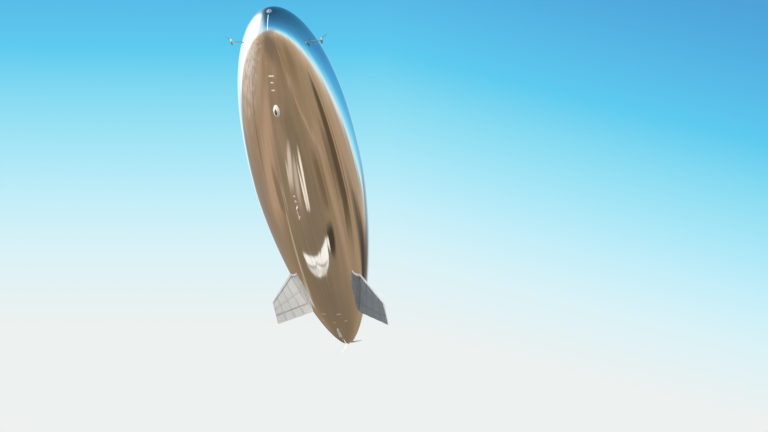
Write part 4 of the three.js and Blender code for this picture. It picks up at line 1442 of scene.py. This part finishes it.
# Columns: node, metres behind the nose, degrees towards port, half length, half width, height.
PATCHES = [
    ("keel_patch_1", 3.35, 0, 0.05, 0.18, 0.025),
    ("keel_patch_2", 3.8, 0, 0.045, 0.105, 0.025),
    ("keel_patch_3", 4.35, 0, 0.045, 0.11, 0.025),
    ("tail_patch_1", 26.9, -14, 0.055, 0.155, 0.02),
    ("tail_patch_2", 26.9, 14, 0.055, 0.155, 0.02),
    ("tail_patch_3", 28.05, -25, 0.075, 0.1, 0.02),
    ("tail_patch_4", 28.05, 0, 0.075, 0.1, 0.02),
    ("tail_patch_5", 28.05, 25, 0.075, 0.1, 0.02),
]
# Heights of a patch's base, straps and rings, and the straps' length, as shares of the patch's own.
BASE_HIGH = 0.45
STRAP_HIGH = 0.7
RING_HIGH = 0.72
STRAP_LONG = 0.92
# Where the straps and rings lie across it, as shares of its half width.
STRAPS = (-0.6, 0, 0.6)
RINGS = (-0.6, 0.6)
STRAP_HALF = 0.012
RING_HALF = 0.02
RING_RADIUS = 0.005
# Columns: node, metres behind the nose, half length, half width.
VENTS = [("keel_vent_1", 13.2, 0.065, 0.055), ("keel_vent_2", 13.7, 0.09, 0.06)]
VENT_HIGH = 0.06
VENT_FLANGE = 0.008
# Arches of a vent's cowl. Columns: places ahead, widths and heights, as shares of the vent's sizes.
COWL = [
    (-0.9, 0.82, 0.12),
    (-0.6, 0.82, 0.55),
    (-0.1, 0.82, 0.95),
    (0.7, 0.82, 1.0),
    (0.8, 0.82, 0.96),
    (0.8, 0.68, 0.8),
    (0.3, 0.82, 0.75),
]
COWL_MOUTH_ROW = 5
BOOM_AT = 14.75
BOOM_HALF = 0.54
BOOM_STAND = 0.11
BOOM_RADIUS = 0.0295
BOOM_FEET = (0.48, -0.48)
BOOM_FOOT_RADIUS = 0.034
BOOM_FOOT_SUNK = 0.04
# Columns: metres out from the film, radius.
BOOM_FLANGE = [(0.012, 0.05), (0.008, 0.058), (-0.02, 0.058)]
BOOM_BANDS = (-0.3, 0, 0.3)
# Columns: metres ahead of a band's middle, radius.
BOOM_BAND = [(0.012, 0.0305), (0.01, 0.032), (-0.01, 0.032), (-0.012, 0.0305)]
FAIRING_AT = 29.7
# Columns: metres ahead of the fairing's middle, half width, height.
FAIRING = [
    (-0.725, 0.06, 0.05),
    (-0.575, 0.105, 0.14),
    (0, 0.075, 0.12),
    (0.6, 0.055, 0.08),
    (0.725, 0.02, 0.02),
]
FAIRING_PLACES = np.linspace(-0.722, 0.722, 48)
FAIRING_EASE = 0.04
FAIRING_SUNK = 0.15
# Half of the fairing's section from its foot to its groove, as shares of its half width and height.
FAIRING_SECTION = [(1, 0.45), (0.82, 0.85), (0.6, 1), (0.16, 1), (0.16, 0.4)]
# Columns of faces that line the groove.
GROOVE_COLUMNS = (4, 5, 6)
PATCH = plain_material("bonded_patch", colour(222, 215, 203), colour(204, 196, 182), 0.55, grain=9)
WORN_PATCH = plain_material("worn_patch", colour(196, 180, 160), colour(146, 131, 114), 0.5, grain=9)
# Painted shade: dark grey on the closed mouth of each vent and in the fairing's groove.
RECESS_SHADE = plain_material("painted_recess_shade", colour(52, 52, 54), colour(42, 42, 44), 0.45)


def make_patches():
    for node, at, degrees, long, wide, high in PATCHES:
        place = skin_place(at, degrees)
        patch = Shape()
        patch.block((-long, -wide, -FITTING_SUNK), (long, wide, high * BASE_HIGH), place, 0.004)
        for share in STRAPS:
            x, y, z = long * STRAP_LONG, wide * share, high * STRAP_HIGH
            patch.block((-x, y - STRAP_HALF, 0), (x, y + STRAP_HALF, z), place, 0.003)
        for share in RINGS:
            y, z = wide * share, high * RING_HIGH
            ends = [place @ Vector((0, end, z)) for end in (y + RING_HALF, y - RING_HALF)]
            patch.rod(*ends, RING_RADIUS, finish=1)
        cloth = PATCH if node.startswith("keel") else WORN_PATCH
        patch.make(f"{node}_fabric", "airship", "load_patch", cloth, ALLOY, replaces=[node])


def make_vents():
    for node, at, long, wide in VENTS:
        place = skin_place(at, 0)
        vent = Shape()
        vent.block((-long, -wide, -FITTING_SUNK), (long, wide, VENT_FLANGE), place, 0.004)
        rows = []
        for ahead_share, width, high in COWL:
            arch = []
            for i in range(17):
                turn = math.pi * i / 16
                y, z = wide * width * math.cos(turn), VENT_HIGH * high * math.sin(turn)
                arch.append(place @ Vector((ahead_share * long, y, z)))
            rows.append(arch)
        vent.grid(rows, lambda i, j: 1 if i >= COWL_MOUTH_ROW else 0)
        vent.make(f"{node}_cowl", "airship", "load_patch", GEL_COAT, RECESS_SHADE, replaces=[node])


def make_boom():
    place = skin_place(BOOM_AT, 0)
    boom = Shape()
    ends = [place @ Vector((x, 0, BOOM_STAND)) for x in (BOOM_HALF, -BOOM_HALF)]
    boom.rod(*ends, BOOM_RADIUS, segments=24)
    for x in BOOM_FEET:
        foot = place @ Matrix.Translation((x, 0, 0))
        ends = [foot @ Vector((0, 0, z)) for z in (BOOM_STAND, -BOOM_FOOT_SUNK)]
        boom.rod(*ends, BOOM_FOOT_RADIUS, segments=20)
        boom.turned(BOOM_FLANGE, foot @ AHEAD.inverted(), 32)
    for x in BOOM_BANDS:
        boom.turned(BOOM_BAND, place @ Matrix.Translation((x, 0, BOOM_STAND)), 24, 1)
    boom.make("keel_boom_tube", "airship", "white_composite", GEL_COAT, GROOVE, replaces=["keel_boom"])


def make_fairing():
    place = skin_place(FAIRING_AT, 0)
    fairing = Shape()
    rows = []
    for x, (half, high) in zip(FAIRING_PLACES, eased(FAIRING_PLACES, FAIRING, FAIRING_EASE)):
        outline = [(half, -FAIRING_SUNK), *[(half * y, high * z) for y, z in FAIRING_SECTION]]
        outline += [(-y, z) for y, z in reversed(outline)]
        rows.append([place @ Vector((x, y, z)) for y, z in outline])
    fairing.grid(rows, lambda i, j: 1 if j in GROOVE_COLUMNS else 0)
    node = "tail_fairing"
    fairing.make(f"{node}_skin", "airship", "white_composite", GEL_COAT, RECESS_SHADE, replaces=[node], sharp=30)


make_patches()
make_vents()
make_boom()
make_fairing()


# Solar array. Thin flexible modules along the back, port and starboard of the top line, each a sheet of dark
# cells under clear film with a bare border, bonded to the envelope.
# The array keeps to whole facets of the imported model's envelope: rings of 32 from nose to tail, and 7.5
# degrees round it, from the top line to 45 degrees down. The margin is a share of a facet.
SOLAR_RINGS = {"1": (9, 14), "2": (14, 20)}
MODEL_RINGS = 32
MODEL_FACET = 7.5
SOLAR_SPAN = 45
SOLAR_MARGIN = 0.12
SHEET_OUT = 0.007
SHEET_SUNK = 0.002
# Columns: width of the bare border, step to the cells behind it, places among the cells.
SHEET_LONG = (0.03, 0.005, 30)
SHEET_ROUND = (0.5, 0.1, 24)
# Cells: metres along the hull, degrees round it, and their colours with their bus bars and gaps.
CELL_LONG = 0.158
CELL_DEGREES = 2.4
CELL_BLUE = (0.012, 0.018, 0.045, 1)
CELL_PALER = (0.018, 0.026, 0.06, 1)
BUS_GREY = (0.3, 0.31, 0.33, 1)
GAP_GREY = (0.2, 0.21, 0.22, 1)


def cells_material():
    made, shader = material("solar_cells")
    x, degrees, _ = film_place(shader)
    row = (x / CELL_LONG + 100).math("FRACT")
    column = (degrees / CELL_DEGREES + 200).math("FRACT")
    gap = row.band(0.5, 0.5).rise(0.06, 0.02)
    gap = gap.math("MAXIMUM", column.band(0.5, 0.5).rise(0.06, 0.02))
    bus = (column * 3).math("FRACT").band(0.5, 0.06)
    tone = noise(shader, object_place(shader), 2.2, 3)
    cell = shader.mix(tone.rise(0.35, 0.7), CELL_BLUE, CELL_PALER)
    cell = shader.mix(bus * 0.5, cell, BUS_GREY)
    base = shader.mix(gap, cell, GAP_GREY)
    finish(shader, Base_Color=base, Roughness=tone * 0.1 + 0.16, Coat_Weight=0.5)
    return made


CELLS = cells_material()


def sheet_places(start, end, border, step, inside):
    """Places across a solar sheet, with one at each side of its borders."""
    middle = np.linspace(start + border + step, end - border - step, inside)
    return np.concatenate([[start, start + border], middle, [end - border, end]])


def make_panels():
    for side, sign in (("port", -1), ("starboard", 1)):
        for block, (first, last) in SOLAR_RINGS.items():
            front, front_next, back_next, back = (
                ring_at(ring / MODEL_RINGS) for ring in (first, first + 1, last - 1, last)
            )
            start = front + (front_next - front) * SOLAR_MARGIN
            end = back - (back - back_next) * SOLAR_MARGIN
            edge = MODEL_FACET * SOLAR_MARGIN
            span = sheet_places(edge, SOLAR_SPAN - edge, *SHEET_ROUND)
            ats = sheet_places(start, end, *SHEET_LONG)
            turns = np.radians(180 + sign * span)
            top = hull_points(ats, turns, SHEET_OUT)
            low = hull_points(ats, turns, -SHEET_SUNK)[:, ::-1]

            def choose(i, j, wide=len(span), long=len(ats)):
                return 0 if 1 <= j < wide - 2 and 1 <= i < long - 2 else 1

            sheet = Shape()
            sheet.grid(np.concatenate([top, low], axis=1), choose)
            node = f"solar_{side}_{block}"
            sheet.make(f"{node}_cells", "airship", "solar_cells", CELLS, PATCH, replaces=[node])


make_panels()
